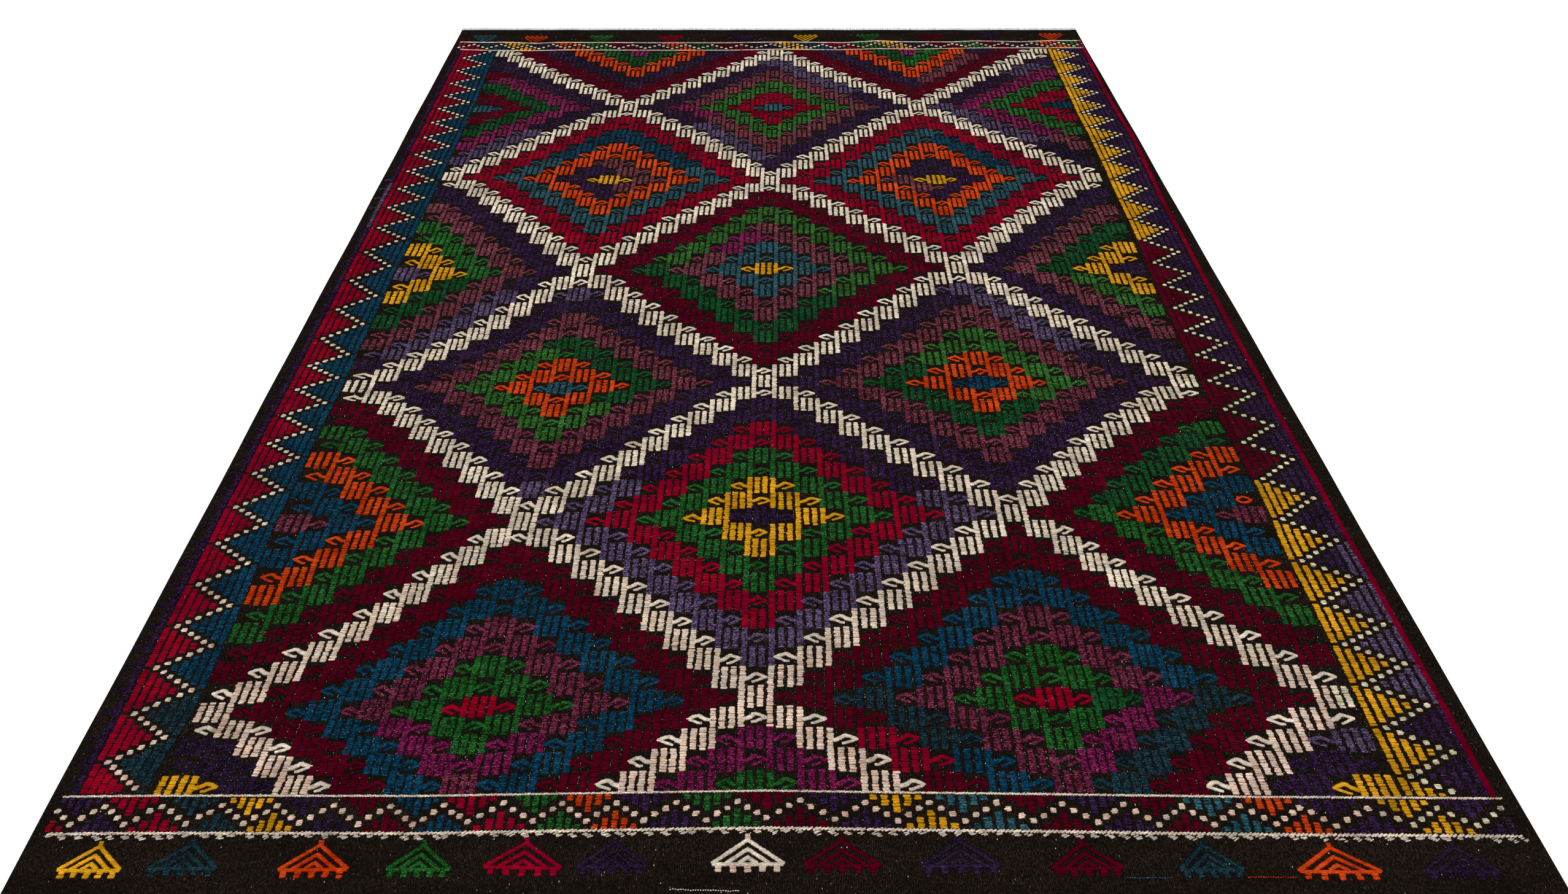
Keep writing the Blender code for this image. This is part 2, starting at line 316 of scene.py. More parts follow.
# (Y, how far the right border lies outwards of even spacing)
RIGHT_BORDER_SHIFT = (
    (-0.80, 0.002), (-0.65, 0.003), (-0.50, 0.002), (0.0, 0.003), (0.15, 0.009), (0.30, 0.012),
    (0.45, 0.014), (0.60, 0.010), (0.75, 0.002),
)
# (Y, how many columns its zigzag and triangles would need to fill it)
RIGHT_BORDER_PITCH = ((-0.50, 7.4), (-0.30, 8.0))
# (Y in millimetres where it starts, dye), from the far end: triangles outside and inside each zigzag
LEFT_OUTSIDE = ((1300, "crimson"),)
LEFT_INSIDE = ((1300, "blue"), (-1010, "dark_teal"))
RIGHT_INSIDE = ((1300, "yellow"), (134, "maroon"), (-595, "yellow"))
RIGHT_OUTSIDE = ((1300, "indigo"),)
# Where the outer columns of the right border went over to other yarn: (first column, Y from, Y to, dye)
RIGHT_CHANGES = ((6, -740, -800, "slate"), (0, -800, -1010, "slate"))
LEFT_STRIPE = ((1300, "indigo"), (402, "slate"), (236, "indigo"))
STRIPE_WIDTH = 9.0 * MM
STRIPE_X = LEFT_BORDER_START - 4.9 * MM
STRIPE_PIECES, STRIPE_LOT = 36, 0.85
# An arm of the stripe, in millimetres from its turn, and how thick it is at both ends
ARM_PATH = ((2, -1), (-3, 1), (-7, 2.5), (-10, 1.5), (-11.5, -1.5), (-8, -3))
ARM_THICKNESS, ARM_FLOAT, ARM_LOT = (6.5 * MM, 4.0 * MM), 6.0 * MM, 0.55
# How much of a step the triangles' columns keep clear of the dots: at the triangle's base, next to it
# and further up
COLUMN_CLEAR = (0.35, 1.15, 1.35)
BORDER_BAR_SHARE = 0.86
# The Y near which the borders meet the lines, and how far their bars and dots keep clear of these
BORDER_END, LINE_CLEAR, DOT_CLEAR = 1.15, 3 * MM, 2 * MM

# ---------------------------------------------------------------- the chart of the end bands

# (X, how many millimetres each twined line strays there)
NEAR_WANDER = (
    (-0.70, 1), (-0.40, -2), (-0.20, 1), (-0.02, 4), (0.10, 2), (0.40, -1), (0.52, -2), (0.72, -1),
)
LINE_WANDER = {
    (FAR, OUTER): (
        (-0.80, 6), (-0.74, 2), (-0.68, 3), (-0.60, -6), (-0.54, 1), (-0.30, -3), (-0.10, -4), (0.03, 1),
        (0.16, -4), (0.19, -6), (0.28, 8), (0.34, 0), (0.47, -2), (0.53, 5), (0.65, -2), (0.73, 6),
    ),
    (FAR, INNER): (
        (-0.80, 8), (-0.77, 4), (-0.72, -1), (-0.60, -5), (-0.52, 1), (-0.30, -3), (-0.10, -4), (0.03, 3),
        (0.17, -3), (0.28, 5), (0.37, 0), (0.47, 6), (0.55, 9), (0.72, 8),
    ),
    (NEAR, INNER): NEAR_WANDER,
    (NEAR, OUTER): NEAR_WANDER,
}
# Each twined line: (end, which, pitch, length and thickness of its stitches in millimetres, their slant,
# share of colour from the triangles beside it, millimetres that it starts late)
TWINED_LINES = (
    (FAR, OUTER, 3.2, 5.0, 2.7, 0.45, 0.10, 0), (FAR, INNER, 3.2, 5.0, 2.7, 0.45, 0.16, 11),
    (NEAR, INNER, 2.9, 4.8, 2.9, 0.42, 0.02, 0), (NEAR, OUTER, 4.4, 7.4, 3.5, 0.5, 0.03, 5),
)
LINE_RISE, LINE_LOT, TINT_LIGHT = 0.55 * MM, 1.02, 2.2
LINE_RIGHT = {FAR: HALF_WIDTH - 7 * MM, NEAR: HALF_WIDTH - (LINE_MARGIN + 3 * MM)}
BAND_LEFT = -HALF_WIDTH + 8 * MM
BAND_RIGHT = {FAR: HALF_WIDTH - 6 * MM, NEAR: HALF_WIDTH - (LINE_MARGIN + 3 * MM)}
# By end: X in millimetres of the zigzag's valleys, left to right, each with the dye of its two triangles
BANDS = {
    NEAR: (
        (-774, "indigo"), (-715, "crimson"), (-648, "dark_teal"), (-587, "yellow"), (-526, "night"),
        (-463, "maroon"), (-403, "blue"), (-343, "crimson"), (-273, "green"), (-215, "orange"),
        (-152, "indigo"), (-85, "green"), (-19, "maroon"), (55, "indigo"), (123, "yellow"),
        (197, "teal"), (272, "maroon"), (340, "indigo"), (407, "maroon"), (466, "teal"),
        (533, "orange"), (598, "indigo"), (681, "yellow"), (751, "indigo"),
    ),
    FAR: (
        (-794, "crimson"), (-720, "blue"), (-653, "yellow"), (-587, "indigo"), (-521, "orange"),
        (-452, "green"), (-384, "maroon"), (-316, "indigo"), (-248, "orange"), (-180, "deep_green"),
        (-110, "maroon"), (-32, "indigo"), (40, "yellow"), (105, "blue"), (168, "crimson"),
        (240, "green"), (305, "yellow"), (373, "indigo"), (439, "maroon"), (503, "green"),
        (566, "maroon"), (635, "indigo"), (712, "orange"), (780, "green"),
    ),
}
BAND_PERIOD = 6
# In shares of the band's height: its lowest dot, the rise from dot to dot and its jitter, the gap at a
# triangle's base, and how far its columns reach, from its middle outwards
BAND_DOT_LOW, BAND_DOT_RISE, BAND_DOT_JITTER = 0.74, 0.157, 0.012
BAND_MARGIN = 0.05
BAND_REACH = (0.52, 0.34, 0.18)
BAND_DOT_SHARE = 0.84

# By end: X and width in millimetres of each motif, with its dye
MOTIFS = {
    NEAR: (
        (-729, 64, "yellow"), (-631, 70, "dark_teal"), (-495, 69, "orange"), (-385, 65, "green"),
        (-276, 79, "crimson"), (-181, 71, "night"), (-40, 74, "cream"), (61, 76, "maroon"),
        (187, 81, "night"), (317, 73, "maroon"), (446, 63, "dark_teal"), (580, 83, "orange"),
        (711, 77, "night"),
    ),
    FAR: (
        (-736, 59, "teal"), (-608, 57, "orange"), (-436, 59, "green"), (-257, 61, "crimson"),
        (-74, 57, "indigo"), (94, 59, "yellow"), (260, 59, "green"), (421, 59, "maroon"),
        (576, 57, "indigo"), (734, 60, "orange"),
    ),
}
# By end: how far a motif's tip lies from the line, how tall it is, and how much light its yarn gives
MOTIF_GAP = {NEAR: 14 * MM, FAR: 4 * MM}
MOTIF_HEIGHT = {NEAR: 31.0 * MM, FAR: 42.0 * MM}
MOTIF_LIGHT = {NEAR: 1, FAR: 0.62}
MOTIF_STROKE = 5.6 * MM
# Its chevrons, in shares of its half width and height: (tip down, foot across, foot down), then its
# base and the feet under it
CHEVRONS = ((0.03, 1.0, 0.95), (0.40, 0.60, 0.94), (0.72, 0.22, 0.92))
BASE_REACH = 0.98
FEET, FOOT_STEP, FOOT_DOWN, FOOT_SIZE = 5, 0.42, 1.04, 8.0 * MM
STEM_START, STEM_END, STEM_WIDTH = 6 * MM, -1 * MM, 6.4 * MM

# The broken second row of the near outer line: short clumps of slanted stitches
DASH_PITCH, DASH_STEP, DASH_DROP = 16.5 * MM, 1.9 * MM, (3.0, 1.25)
DASH_LENGTH, DASH_THICKNESS, DASH_SLANT = 7.2 * MM, 2.3 * MM, 0.38
# Thin runs of coloured weft beside the near motifs: (X from, X to, Y, dye)
STRAY_STITCHES = (
    (0.483, 0.533, -1.2555, "orange"), (0.357, 0.405, -1.2570, "teal"), (-0.119, -0.048, -1.271, "cream"),
)
STRAY_STEP = 2.6 * MM


# ================================================================ shape of the cloth


def follow(table, at):
    """The value, at one or many places, of a table of (place, value) pairs."""
    return np.interp(at, *zip(*table))


def ripple(x, y, sine, cosine):
    """A wavy value of -1 to 1, from two waves, each with its factors of x and y and its phase."""
    return np.sin(sine[0] * x + sine[1] * y + sine[2]) * np.cos(cosine[0] * x + cosine[1] * y + cosine[2])


def edge_draw_in(y, side):
    return EDGE_WAVE * (1 + ripple(side, y, (2.1, 5.3, 0), (-1, 11.7, 0))) / 2


def end_draw_in(x, end):
    place = (x + HALF_WIDTH) / SCALLOP_PITCH
    first = np.clip(np.floor(place), 0, SCALLOPS - 1)

    def dip(scallop):
        return END_WAVE * (1 + ripple(scallop, end, (1.9, 1, 0), (0.37, 0.5, 0))) / 2

    return dip(first) + (dip(first + 1) - dip(first)) * (place - first)


def lean(x, left, middle, right):
    t = x / HALF_WIDTH
    return middle + (right - left) / 2 * t + ((left + right) / 2 - middle) * t * t


def rib_drift(x, y):
    inner = RIB_INNER - BROCADE_RISE
    share = np.minimum(1.0, (x - DRIFT_START) / (inner - DRIFT_START))
    share = np.clip(np.minimum(share, (HALF_WIDTH - x) / SELVEDGE_WIDTH), 0.0, 1.0)
    return share * follow(RIB_DRIFT, y)


def place(x, y):
    """Moves points of the ideal rectangle to where the uneven cloth has them."""
    x, y = np.asarray(x, float), np.asarray(y, float)
    side = np.where(x < 0, -1.0, 1.0)
    x_real = x + rib_drift(x, y) - side * edge_draw_in(y, side) * (np.abs(x) / HALF_WIDTH) ** EDGE_FADE
    t = (y + HALF_LENGTH) / CLOTH_LENGTH
    bow = (1 - t) * lean(x, *LEANS[NEAR]) + t * lean(x, *LEANS[FAR])
    end = np.where(y > 0, FAR, NEAR)
    at_end = np.maximum(0.0, 1 - (HALF_LENGTH - np.abs(y)) / LINES[FAR][OUTER])
    return x_real, y + bow * (1 - at_end) - end * end_draw_in(x, end) * at_end


def wander(x, y):
    """The small unevenness of hand work, which shifts every float with its neighbours."""
    return [reach * ripple(x, y, *waves) for reach, waves in WANDER]


def from_cell(values, cell):
    """For each place, the value in the row of its cell."""
    return np.take_along_axis(values, cell[None], 0)[0]


def cell_and_tent(across, cells):
    """The cell that each place is in, and a share that is 1 in the cell's middle and 0 at its ends."""
    cell = np.clip(np.floor(across).astype(int), 0, cells - 1)
    return cell, np.clip(1 - np.abs(2 * (across - cell) - 1), 0, 1)


def leg_shift(column, row):
    """The unevenness of the weave between the grid's places."""
    cell, tent = cell_and_tent((column - GRID_COLUMNS[0]) / GRID_SPACING, len(LEG_COLUMNS))
    dx = tent * from_cell(np.stack([np.interp(row, LEG_ROWS, xs) for xs in LEG_SHIFTS[..., 0].T]), cell)
    cell, tent = cell_and_tent((row - LEG_ROWS[0]) / LATTICE + 0.5, len(LEG_ROWS))
    dy = tent * from_cell(np.stack([np.interp(column, LEG_COLUMNS, ys) for ys in LEG_SHIFTS[..., 1]]), cell)
    return dx, dy


def pull_shift(column, row):
    """How far the weave is pulled aside, and stretched at the field's left edge."""
    dx, dy = np.zeros_like(column), np.zeros_like(row)
    for at_column, at_row, x, y in PULLS:
        share = np.exp(-(((column - at_column) / PULL_COLUMNS) ** 2) - ((row - at_row) / PULL_ROWS) ** 2)
        dx += x * MM * share
        dy += y * MM * share
    dx -= follow(LEFT_STRETCH, row) * MM * np.clip((STRETCH_START - column) / STRETCH_COLUMNS, 0, 1)
    return dx, dy


def weave_point(column, row):
    """Where a column edge and a row of the chart cross on the cloth."""
    column, row = np.broadcast_arrays(np.asarray(column, float), np.asarray(row, float))
    shape = column.shape
    column, row = column.ravel(), row.ravel()
    across = (column - GRID_COLUMNS[0]) / GRID_SPACING
    first = np.clip(np.floor(across).astype(int), 0, len(GRID_COLUMNS) - 2)
    part = across - first
    leg, pull = leg_shift(column, row), pull_shift(column, row)
    point = []
    for axis, share in enumerate((part, np.clip(part, 0.0, 1.0))):
        by_row = np.stack([np.interp(row, GRID_ROWS, values) for values in GRID_PLACES[..., axis].T])
        start, stop = from_cell(by_row, first), from_cell(by_row, first + 1)
        point.append((start + (stop - start) * share + leg[axis] + pull[axis]).reshape(shape))
    return point


def row_at(y, column):
    """The row of the chart that lies at Y in a column."""
    rows = np.linspace(0, ROWS, 4 * ROWS + 1)
    _, ys = weave_point(np.full_like(rows, column), rows)
    return np.interp(-y, -ys, rows)


def line_y(end, which, x):
    """Y of the outer or inner twined line at X."""
    _, y = place(x, np.full_like(np.asarray(x, float), end * (HALF_LENGTH - LINES[end][which])))
    return y + follow(LINE_WANDER[end, which], x) * MM


# ================================================================ yarn


class Yarn:
    """All the floats of one dye, kept until they are made into one mesh."""

    def __init__(self):
        self.rows = []

    def add(self, x, y, half_length, half_width, angle, top, colour):
        values = (x, y, half_length, half_width, angle, top)
        columns = [np.broadcast_to(np.asarray(v, float), (len(x),)) for v in values]
        self.rows.append(np.column_stack(columns + [colour]))


YARNS = {dye: Yarn() for dye in DYES}
WARP_FLECKS = Yarn()


def jitter(spread, count=None):
    """One or many random shifts round 0, as hand work has them."""
    return spread * RNG.standard_normal(count)


def linear(colour):
    """A colour of sRGB values in linear light."""
    c = np.asarray(colour, float) / 255
    return np.where(c <= 0.04045, c / 12.92, ((c + 0.055) / 1.055) ** 2.4)


def shades(dye, y, lot=1.0):
    """Colours of a run of floats at y: the dye, the lot of yarn, a darkening towards the near end and a
    little from float to float.
    """
    each = (len(y), 1)
    light = (1 + jitter(UNEVEN + UNEVEN_MOTTLED * MOTTLED.get(dye, 0.0), each)).clip(*LIGHT_LIMITS)
    near = np.interp(y, NEAR_END_PLACES, (1.0, 0.0))[:, None]
    light = light * (1 + near * (np.broadcast_to(NEAR_END_FACTORS.get(dye, 1.0), 3) - 1))
    return linear(DYES[dye]) / LIGHT_ON_FACE * lot * light * (1 + jitter(WARM, each) * WARM_SHARES)


def bar_tint(dye, x, y):
    """The tint of one whole bar, on top of its dye."""
    if dye != "cream":
        return 1.0
    if x > YELLOW_START:
        return CREAM_YELLOW
    blush = np.clip((BLUSH_START - y) / BLUSH_LENGTH + jitter(BLUSH_JITTER), 0, 1)
    return CREAM_PALE + (CREAM_BLUSH - CREAM_PALE) * blush


def tops(count):
    return YARN_TOP + YARN_TOP_JITTER * RNG.uniform(-1, 1, count)


def floats(dye, x, y, half_length, half_width, angle=0.0, lot=1.0, top_shift=0.0):
    dx, dy = wander(x, y)
    top = tops(len(x)) + top_shift
    YARNS[dye].add(x + dx, y + dy, half_length, half_width, angle, top, shades(dye, y, lot))


def bar_share(dye):
    return BAR_SHARES.get(dye, BAR_SHARE)


def upright(x):
    """A bar's line that stands straight at X."""
    return lambda y: (np.full_like(y, x), y)


def bar(dye, line, start, end, width, lot=None):
    """A bar of stacked floats down a column. line gives the points of the column from start to end."""
    (x0,), (y0,) = line(np.array([start]))
    (x1,), (y1,) = line(np.array([end]))
    length = math.hypot(x1 - x0, y1 - y0)
    count = max(1, round(length / FLOAT_PITCH))
    shift = jitter(0.10, count) if count > 1 else 0.0
    x, y = line(start + (end - start) * (np.arange(count) + 0.5 + shift) / count)
    half_length = width / 2 * (1 + jitter(0.08, count)).clip(0.82, 1.16)
    half_width = length / count / 2 * FLOAT_OVERLAP * (1 + jitter(0.10, count)).clip(0.8, 1.2)
    x = x + jitter(0.35 * MM, count)
    angle = jitter(0.07, count)
    if lot is None:
        lot = 1 + jitter(0.06)
    floats(dye, x, y, half_length, half_width, angle, lot * bar_tint(dye, x0, y0))


def stroke(dye, points, step, length, thickness, follow_path=0.75, lot=1.0):
    """Short slanted floats along a path, as the outlines of hooks and motifs are wrapped.

    thickness is one value, or one at the start and one at the end."""
    xs, ys = np.asarray(points, float).T
    along = np.concatenate([[0], np.cumsum(np.hypot(np.diff(xs), np.diff(ys)))])
    whole = along[-1]
    count = max(2, round(whole / step))
    t = whole * (np.arange(count) + 0.5) / count
    ahead, behind = np.minimum(t + step, whole), np.maximum(t - step, 0)
    slope_x, slope_y = (np.interp(ahead, along, v) - np.interp(behind, along, v) for v in (xs, ys))
    turn = (np.arctan2(slope_y, slope_x) + np.pi / 2) % np.pi - np.pi / 2
    angle = follow_path * turn + jitter(0.1, count)
    start, end = np.broadcast_to(thickness, 2)
    half_width = (start + (end - start) * t / whole) / 2 * (1 + jitter(0.08, count))
    half_length = length / 2 * (1 + jitter(0.08, count))
    floats(dye, np.interp(t, along, xs), np.interp(t, along, ys), half_length, half_width, angle, lot)


# ================================================================ the field


def nearest_diamond(column, row):
    return min(DIAMONDS, key=lambda d: abs(column - d[0]) / HALF_STEP + abs(row - d[1]))


def block_dye(column, row):
    """The dye of the block that starts at a column."""
    diamond = nearest_diamond(column, row)
    steps = abs(column - diamond[0]) // HALF_STEP + abs(row - diamond[1])
    if steps >= LATTICE:
        return "cream"
    ring = steps // 2
    dye = DIAMONDS[diamond][-1 - ring]
    side = (column > diamond[0]) - (column < diamond[0])
    for changed_ring, changed_side, first, last, new in CHANGES.get(diamond, ()):
        if changed_ring == ring and first <= row <= last and changed_side in (BOTH, side):
            dye = new
    return dye


def column_line(column):
    """A bar's line down the middle of a column, by row."""
    return lambda rows: weave_point(np.full_like(rows, column + 0.5), rows)


def make_block(column, row):
    dye = block_dye(column, row)
    lot = 1 + jitter(0.05)
    x, _ = weave_point(GRID_COLUMNS[2:4], row)
    width = (x[1] - x[0]) / GRID_SPACING * bar_share(dye)
    for k in range(BLOCK):
        start, end = OUTER_SPAN if k in (0, BLOCK - 1) else INNER_SPAN
        start, end = max(row + start, FIELD_SPAN[0]), min(row + end, FIELD_SPAN[1])
        bar(dye, column_line(column + k), start, end, width, lot * (1 + jitter(0.03)))


def make_hook(edge, outwards, row, dye):
    """A hook that grows from the side of a block at a column edge, outwards to the left or right."""
    out, down = np.array(HOOK_PATH).T
    out = out * (1 + jitter(0.05))
    down = down + jitter(0.02) + jitter(0.012, len(down))
    points = np.column_stack(weave_point(edge + outwards * out, row + down))
    lot = 1 + jitter(0.05)
    stroke(dye, points[:HOOK_TIP], HOOK_STEP, HOOK_FLOAT, (HOOK_STEM, HOOK_STROKE), lot=lot)
    stroke(dye, points[HOOK_TIP - 1 :], HOOK_STEP, BACK_FLOAT, BACK_STROKE, lot=lot * BACK_LOT)


def make_eye(column, row, dye):
    out, down = np.array(EYE_PATH).T
    points = np.column_stack(weave_point(column + out, row + down))
    stroke(dye, points, HOOK_STEP, EYE_FLOAT, HOOK_STROKE)


def hook_owner(column, row):
    """Which neighbour the hook of the cell that starts at this column belongs to: LEFT or RIGHT."""
    diamond = nearest_diamond(column - 1, row)
    offset = column - 1 - diamond[0]
    if offset == 0:
        return RIGHT if (column, row) in CROSSING_HOOKS_RIGHT else LEFT
    inwards = 0 < row <= diamond[1]
    return LEFT if (offset > 0) == inwards else RIGHT


def fill_cell(cell, row, field_start, field_end):
    """The hook or eye in the cell between two blocks that starts at this column."""
    after = cell + HOOK_CELL
    if (cell, row) in EYES:
        make_eye(cell, row, EYES[cell, row])
    elif (cell, row) in HOOK_DYES:
        make_hook(after, LEFT, row, HOOK_DYES[cell, row])
    elif cell >= field_start and (after > field_end or hook_owner(cell, row) == LEFT):
        make_hook(cell, RIGHT, row, block_dye(cell - BLOCK, row))
    else:
        make_hook(after, LEFT, row, block_dye(after, row))


def make_field():
    for row in range(ROWS):
        odd = row % 2
        first = FIRST_COLUMN + HALF_STEP * odd
        blocks = range(first, END_COLUMN - BLOCK + 1, BLOCK_STEP)
        for column in blocks:
            make_block(column, row)
        cells = [column + BLOCK for column in blocks]
        for cell in [first - HOOK_CELL] + cells if odd else cells[:-1]:
            fill_cell(cell, row, first, cells[-1])


# ================================================================ the side borders


def dye_at(y, changes):
    """The dye in use at Y, from a list that runs from the far end."""
    return [dye for start, dye in changes if y < start * MM][-1]


def dot_column(step):
    """The column of a zigzag's dot, counted from the zigzag's outer side: 6 at a turn, then down to 1."""
    phase = step % STEPS_PER_TURN
    return DOT_COLUMNS - phase if phase < DOT_COLUMNS else phase - DOT_COLUMNS + 2


def zigzag_height(step):
    """The same as dot_column, for places between the dots too."""
    phase = step % STEPS_PER_TURN
    return DOT_COLUMNS - min(phase, STEPS_PER_TURN - phase)


def field_edge(column, y):
    return weave_point(np.full_like(y, column), row_at(y, column))[0]


def left_border_x(k, y):
    width = (field_edge(FIRST_COLUMN, y) - LEFT_BORDER_START) * follow(LEFT_BORDER_NARROW, y)
    return LEFT_BORDER_START + width * (k + 0.5) / BORDER_COLUMNS


def right_border_x(k, y):
    edge = field_edge(END_COLUMN, y) + follow(RIGHT_BORDER_SHIFT, y)
    end, _ = place(np.full_like(y, RIB_INNER - MM), y)
    return edge + (end - edge) * (k + 0.5) / follow(RIGHT_BORDER_PITCH, y)


def make_dot(x, y, width):
    """A dot: three short floats on top of each other, the middle one the longest."""
    half = DOT_HEIGHT / 2 * (1 + jitter(0.07))
    share = np.array([-1.0, 0.0, 1.0])
    across = x + jitter(0.35 * MM, 3) + jitter(0.3 * MM)
    half_length = width / 2 * np.array([0.86, 1.04, 0.86]) * (1 + jitter(0.07, 3))
    angle = 0.10 + jitter(0.08) + jitter(0.05, 3)
    lot = DOT_LOT * bar_tint("cream", x, y)
    floats("cream", across, y + share * half * 0.62, half_length, half * 0.48, angle, lot)


def turn_y(turns, step):
    """Y of a zigzag's step. Steps before the first turn and past the last go on evenly."""
    knots = np.arange(len(turns)) * TURN_STEP * STEPS_PER_TURN
    pitch = (turns[0] - turns[1]) / (knots[1] - knots[0])
    beyond = np.minimum(step, 0) * pitch + np.maximum(step - knots[-1], 0) * pitch
    return float((np.interp(step, knots, turns) - beyond) * MM)


def make_border(turns, x_of, low_dyes, high_dyes, changes=()):
    """A zigzag of dots with stepped triangles on both sides. Column 0 is where low_dyes lie."""
    extra = 2 * STEPS_PER_TURN
    steps = range(-extra, (len(turns) - 1) * TURN_STEP * STEPS_PER_TURN + extra)

    def x_at(k, y):
        return float(x_of(k, np.array([y]))[0])

    limits = [
        [float(line_y(end, INNER, x_at(k, end * BORDER_END))) - end * LINE_CLEAR for end in (FAR, NEAR)]
        for k in range(BORDER_COLUMNS)
    ]
    for k, (far, near) in enumerate(limits):
        crossings = [s for s in steps if dot_column(s) == min(max(k, 1), DOT_COLUMNS)]
        pitch = x_at(k, 0.0) - x_at(k - 1, 0.0)
        for before, after in zip(crossings, crossings[1:]):
            low = zigzag_height((before + after) / 2) > k if 1 <= k <= DOT_COLUMNS else k == 0
            from_base = k if low else BORDER_COLUMNS - 1 - k
            clear = COLUMN_CLEAR[min(from_base, len(COLUMN_CLEAR) - 1)]
            top = min(turn_y(turns, before + clear), far)
            bottom = max(turn_y(turns, after - clear), near)
            if top - bottom > FLOAT_PITCH:
                middle = (top + bottom) / 2
                dye = dye_at(middle, low_dyes if low else high_dyes)
                for first, start, stop, new in changes:
                    if not low and k >= first and stop * MM < middle < start * MM:
                        dye = new
                bar(dye, lambda y: (x_of(k, y), y), top, bottom, pitch * BORDER_BAR_SHARE)
    for step in steps:
        k, y = dot_column(step), turn_y(turns, step)
        far, near = limits[k]
        if near + DOT_CLEAR < y < far - DOT_CLEAR:
            make_dot(x_at(k, y), y, DOT_WIDTH)


def make_left_stripe():
    """The dark stripe between the left border and the black edge, with an arm outwards at every turn."""
    far, near = (float(line_y(end, INNER, STRIPE_X)) - end * LINE_CLEAR for end in (FAR, NEAR))
    for i in range(STRIPE_PIECES):
        top, bottom = (far + (near - far) * share / STRIPE_PIECES for share in (i, i + 0.99))
        bar(dye_at(top, LEFT_STRIPE), upright(STRIPE_X), top, bottom, STRIPE_WIDTH, STRIPE_LOT)
    knots = np.arange(len(LEFT_TURNS)) * 2 * TURN_STEP
    for y in np.interp(np.arange(1, knots[-1]), knots, LEFT_TURNS) * MM:
        points = np.array(ARM_PATH) * MM * (1 + jitter(0.1, (len(ARM_PATH), 1)))
        points += (STRIPE_X - STRIPE_WIDTH / 2, y)
        stroke(dye_at(y, LEFT_STRIPE), points, HOOK_STEP, ARM_FLOAT, ARM_THICKNESS, lot=ARM_LOT)


def make_red_rib():
    """The raised red rib, which is lighter in places and towards the far end."""
    far, near = float(line_y(FAR, OUTER, RIB_OUTER)), float(line_y(NEAR, INNER, RIB_OUTER))
    count = int((far - near) / RIB_STEP)
    y = np.linspace(far - RIB_STEP, near + RIB_STEP, count)
    x, _ = place(np.full_like(y, (RIB_INNER + RIB_OUTER) / 2), y)
    lot = 1.0 + 0.12 * np.sin(19 * y) + np.clip(0.2 * y, 0, 0.3)
    dx, dy = wander(x, y)
    colour = shades("rib_red", y, lot[:, None])
    half_length = RIB_FACE / 2 * (1 + jitter(0.05, count))
    top = tops(count) + RIB_RISE
    YARNS["rib_red"].add(x + dx, y + dy, half_length, RIB_STEP * 1.3, 0.0, top, colour)


# ================================================================ the end bands


def make_band(end):
    """The zigzag of dots between the two twined lines of one end, with triangles above and below it."""
    upper, lower = (OUTER, INNER) if end == FAR else (INNER, OUTER)
    valleys = np.array([x for x, _ in BANDS[end]]) * MM
    dyes = [dye for _, dye in BANDS[end]]
    before, after = valleys[0] - (valleys[1] - valleys[0]), valleys[-1] + (valleys[-1] - valleys[-2])
    valleys = np.concatenate([[before], valleys, [after]])
    dyes = [dyes[1]] + dyes

    def between(x, share):
        top, bottom = (line_y(end, which, np.asarray(x, float)) for which in (upper, lower))
        return top + (bottom - top) * share

    def column(dye, x, start, stop, width):
        if BAND_LEFT < x < BAND_RIGHT[end]:
            bar(dye, lambda share: (np.full_like(share, x), between(x, share)), start, stop, width)

    for dye, valley, following in zip(dyes, valleys, valleys[1:]):
        pitch = (following - valley) / BAND_PERIOD
        for j in range(BAND_PERIOD):
            x = valley + j * pitch
            if BAND_LEFT < x < BAND_RIGHT[end]:
                height = min(j, BAND_PERIOD - j)
                share = BAND_DOT_LOW - BAND_DOT_RISE * height + jitter(BAND_DOT_JITTER)
                make_dot(x, float(between(x, share)), min(pitch * BAND_DOT_SHARE, DOT_WIDTH))
        peak = (valley + following) / 2
        width = pitch * bar_share(dye)
        for outwards, reach in enumerate(BAND_REACH):
            for side in (RIGHT, LEFT) if outwards else (RIGHT,):
                column(dye, valley + side * outwards * pitch, BAND_MARGIN, reach, width)
                column(dye, peak + side * outwards * pitch, 1 - reach, 1 - BAND_MARGIN, width)


def make_motif(end, x, width, dye):
    """A nested chevron on a footed base, its tip towards the twined line."""
    tip = float(line_y(end, OUTER, x)) + end * MOTIF_GAP[end]
    lot = MOTIF_LIGHT[end] * (1 + jitter(0.06))
    skew = jitter(1.2 * MM)

    def at(across, down):
        return x + skew * down + width / 2 * across, tip + end * MOTIF_HEIGHT[end] * down

    def wrap(*points):
        stroke(dye, points, HOOK_STEP, HOOK_FLOAT, MOTIF_STROKE, lot=lot)

    for side in (LEFT, RIGHT):
        for top, across, down in CHEVRONS:
            wrap(at(0, top), at(side * across, down))
    wrap(at(-BASE_REACH, 1.0), at(BASE_REACH, 1.0))
    for k in range(FEET):
        foot_x, foot_y = at(FOOT_STEP * (k - FEET // 2), FOOT_DOWN)
        bar(dye, upright(foot_x), foot_y, foot_y + end * FOOT_SIZE, FOOT_SIZE, lot)
    if end == NEAR:
        bar(dye, upright(x), tip + STEM_START, tip + STEM_END, STEM_WIDTH, lot)


# ================================================================ the twined lines and single stitches


def neighbour_tint(end, x):
    """The lines took a little colour from the triangles beside them."""
    centres = np.array([c for c, _ in BANDS[end]]) * MM
    nearest = np.abs(x[:, None] - centres[None]).argmin(1)
    return np.array([linear(DYES[BANDS[end][i][1]]) for i in nearest])


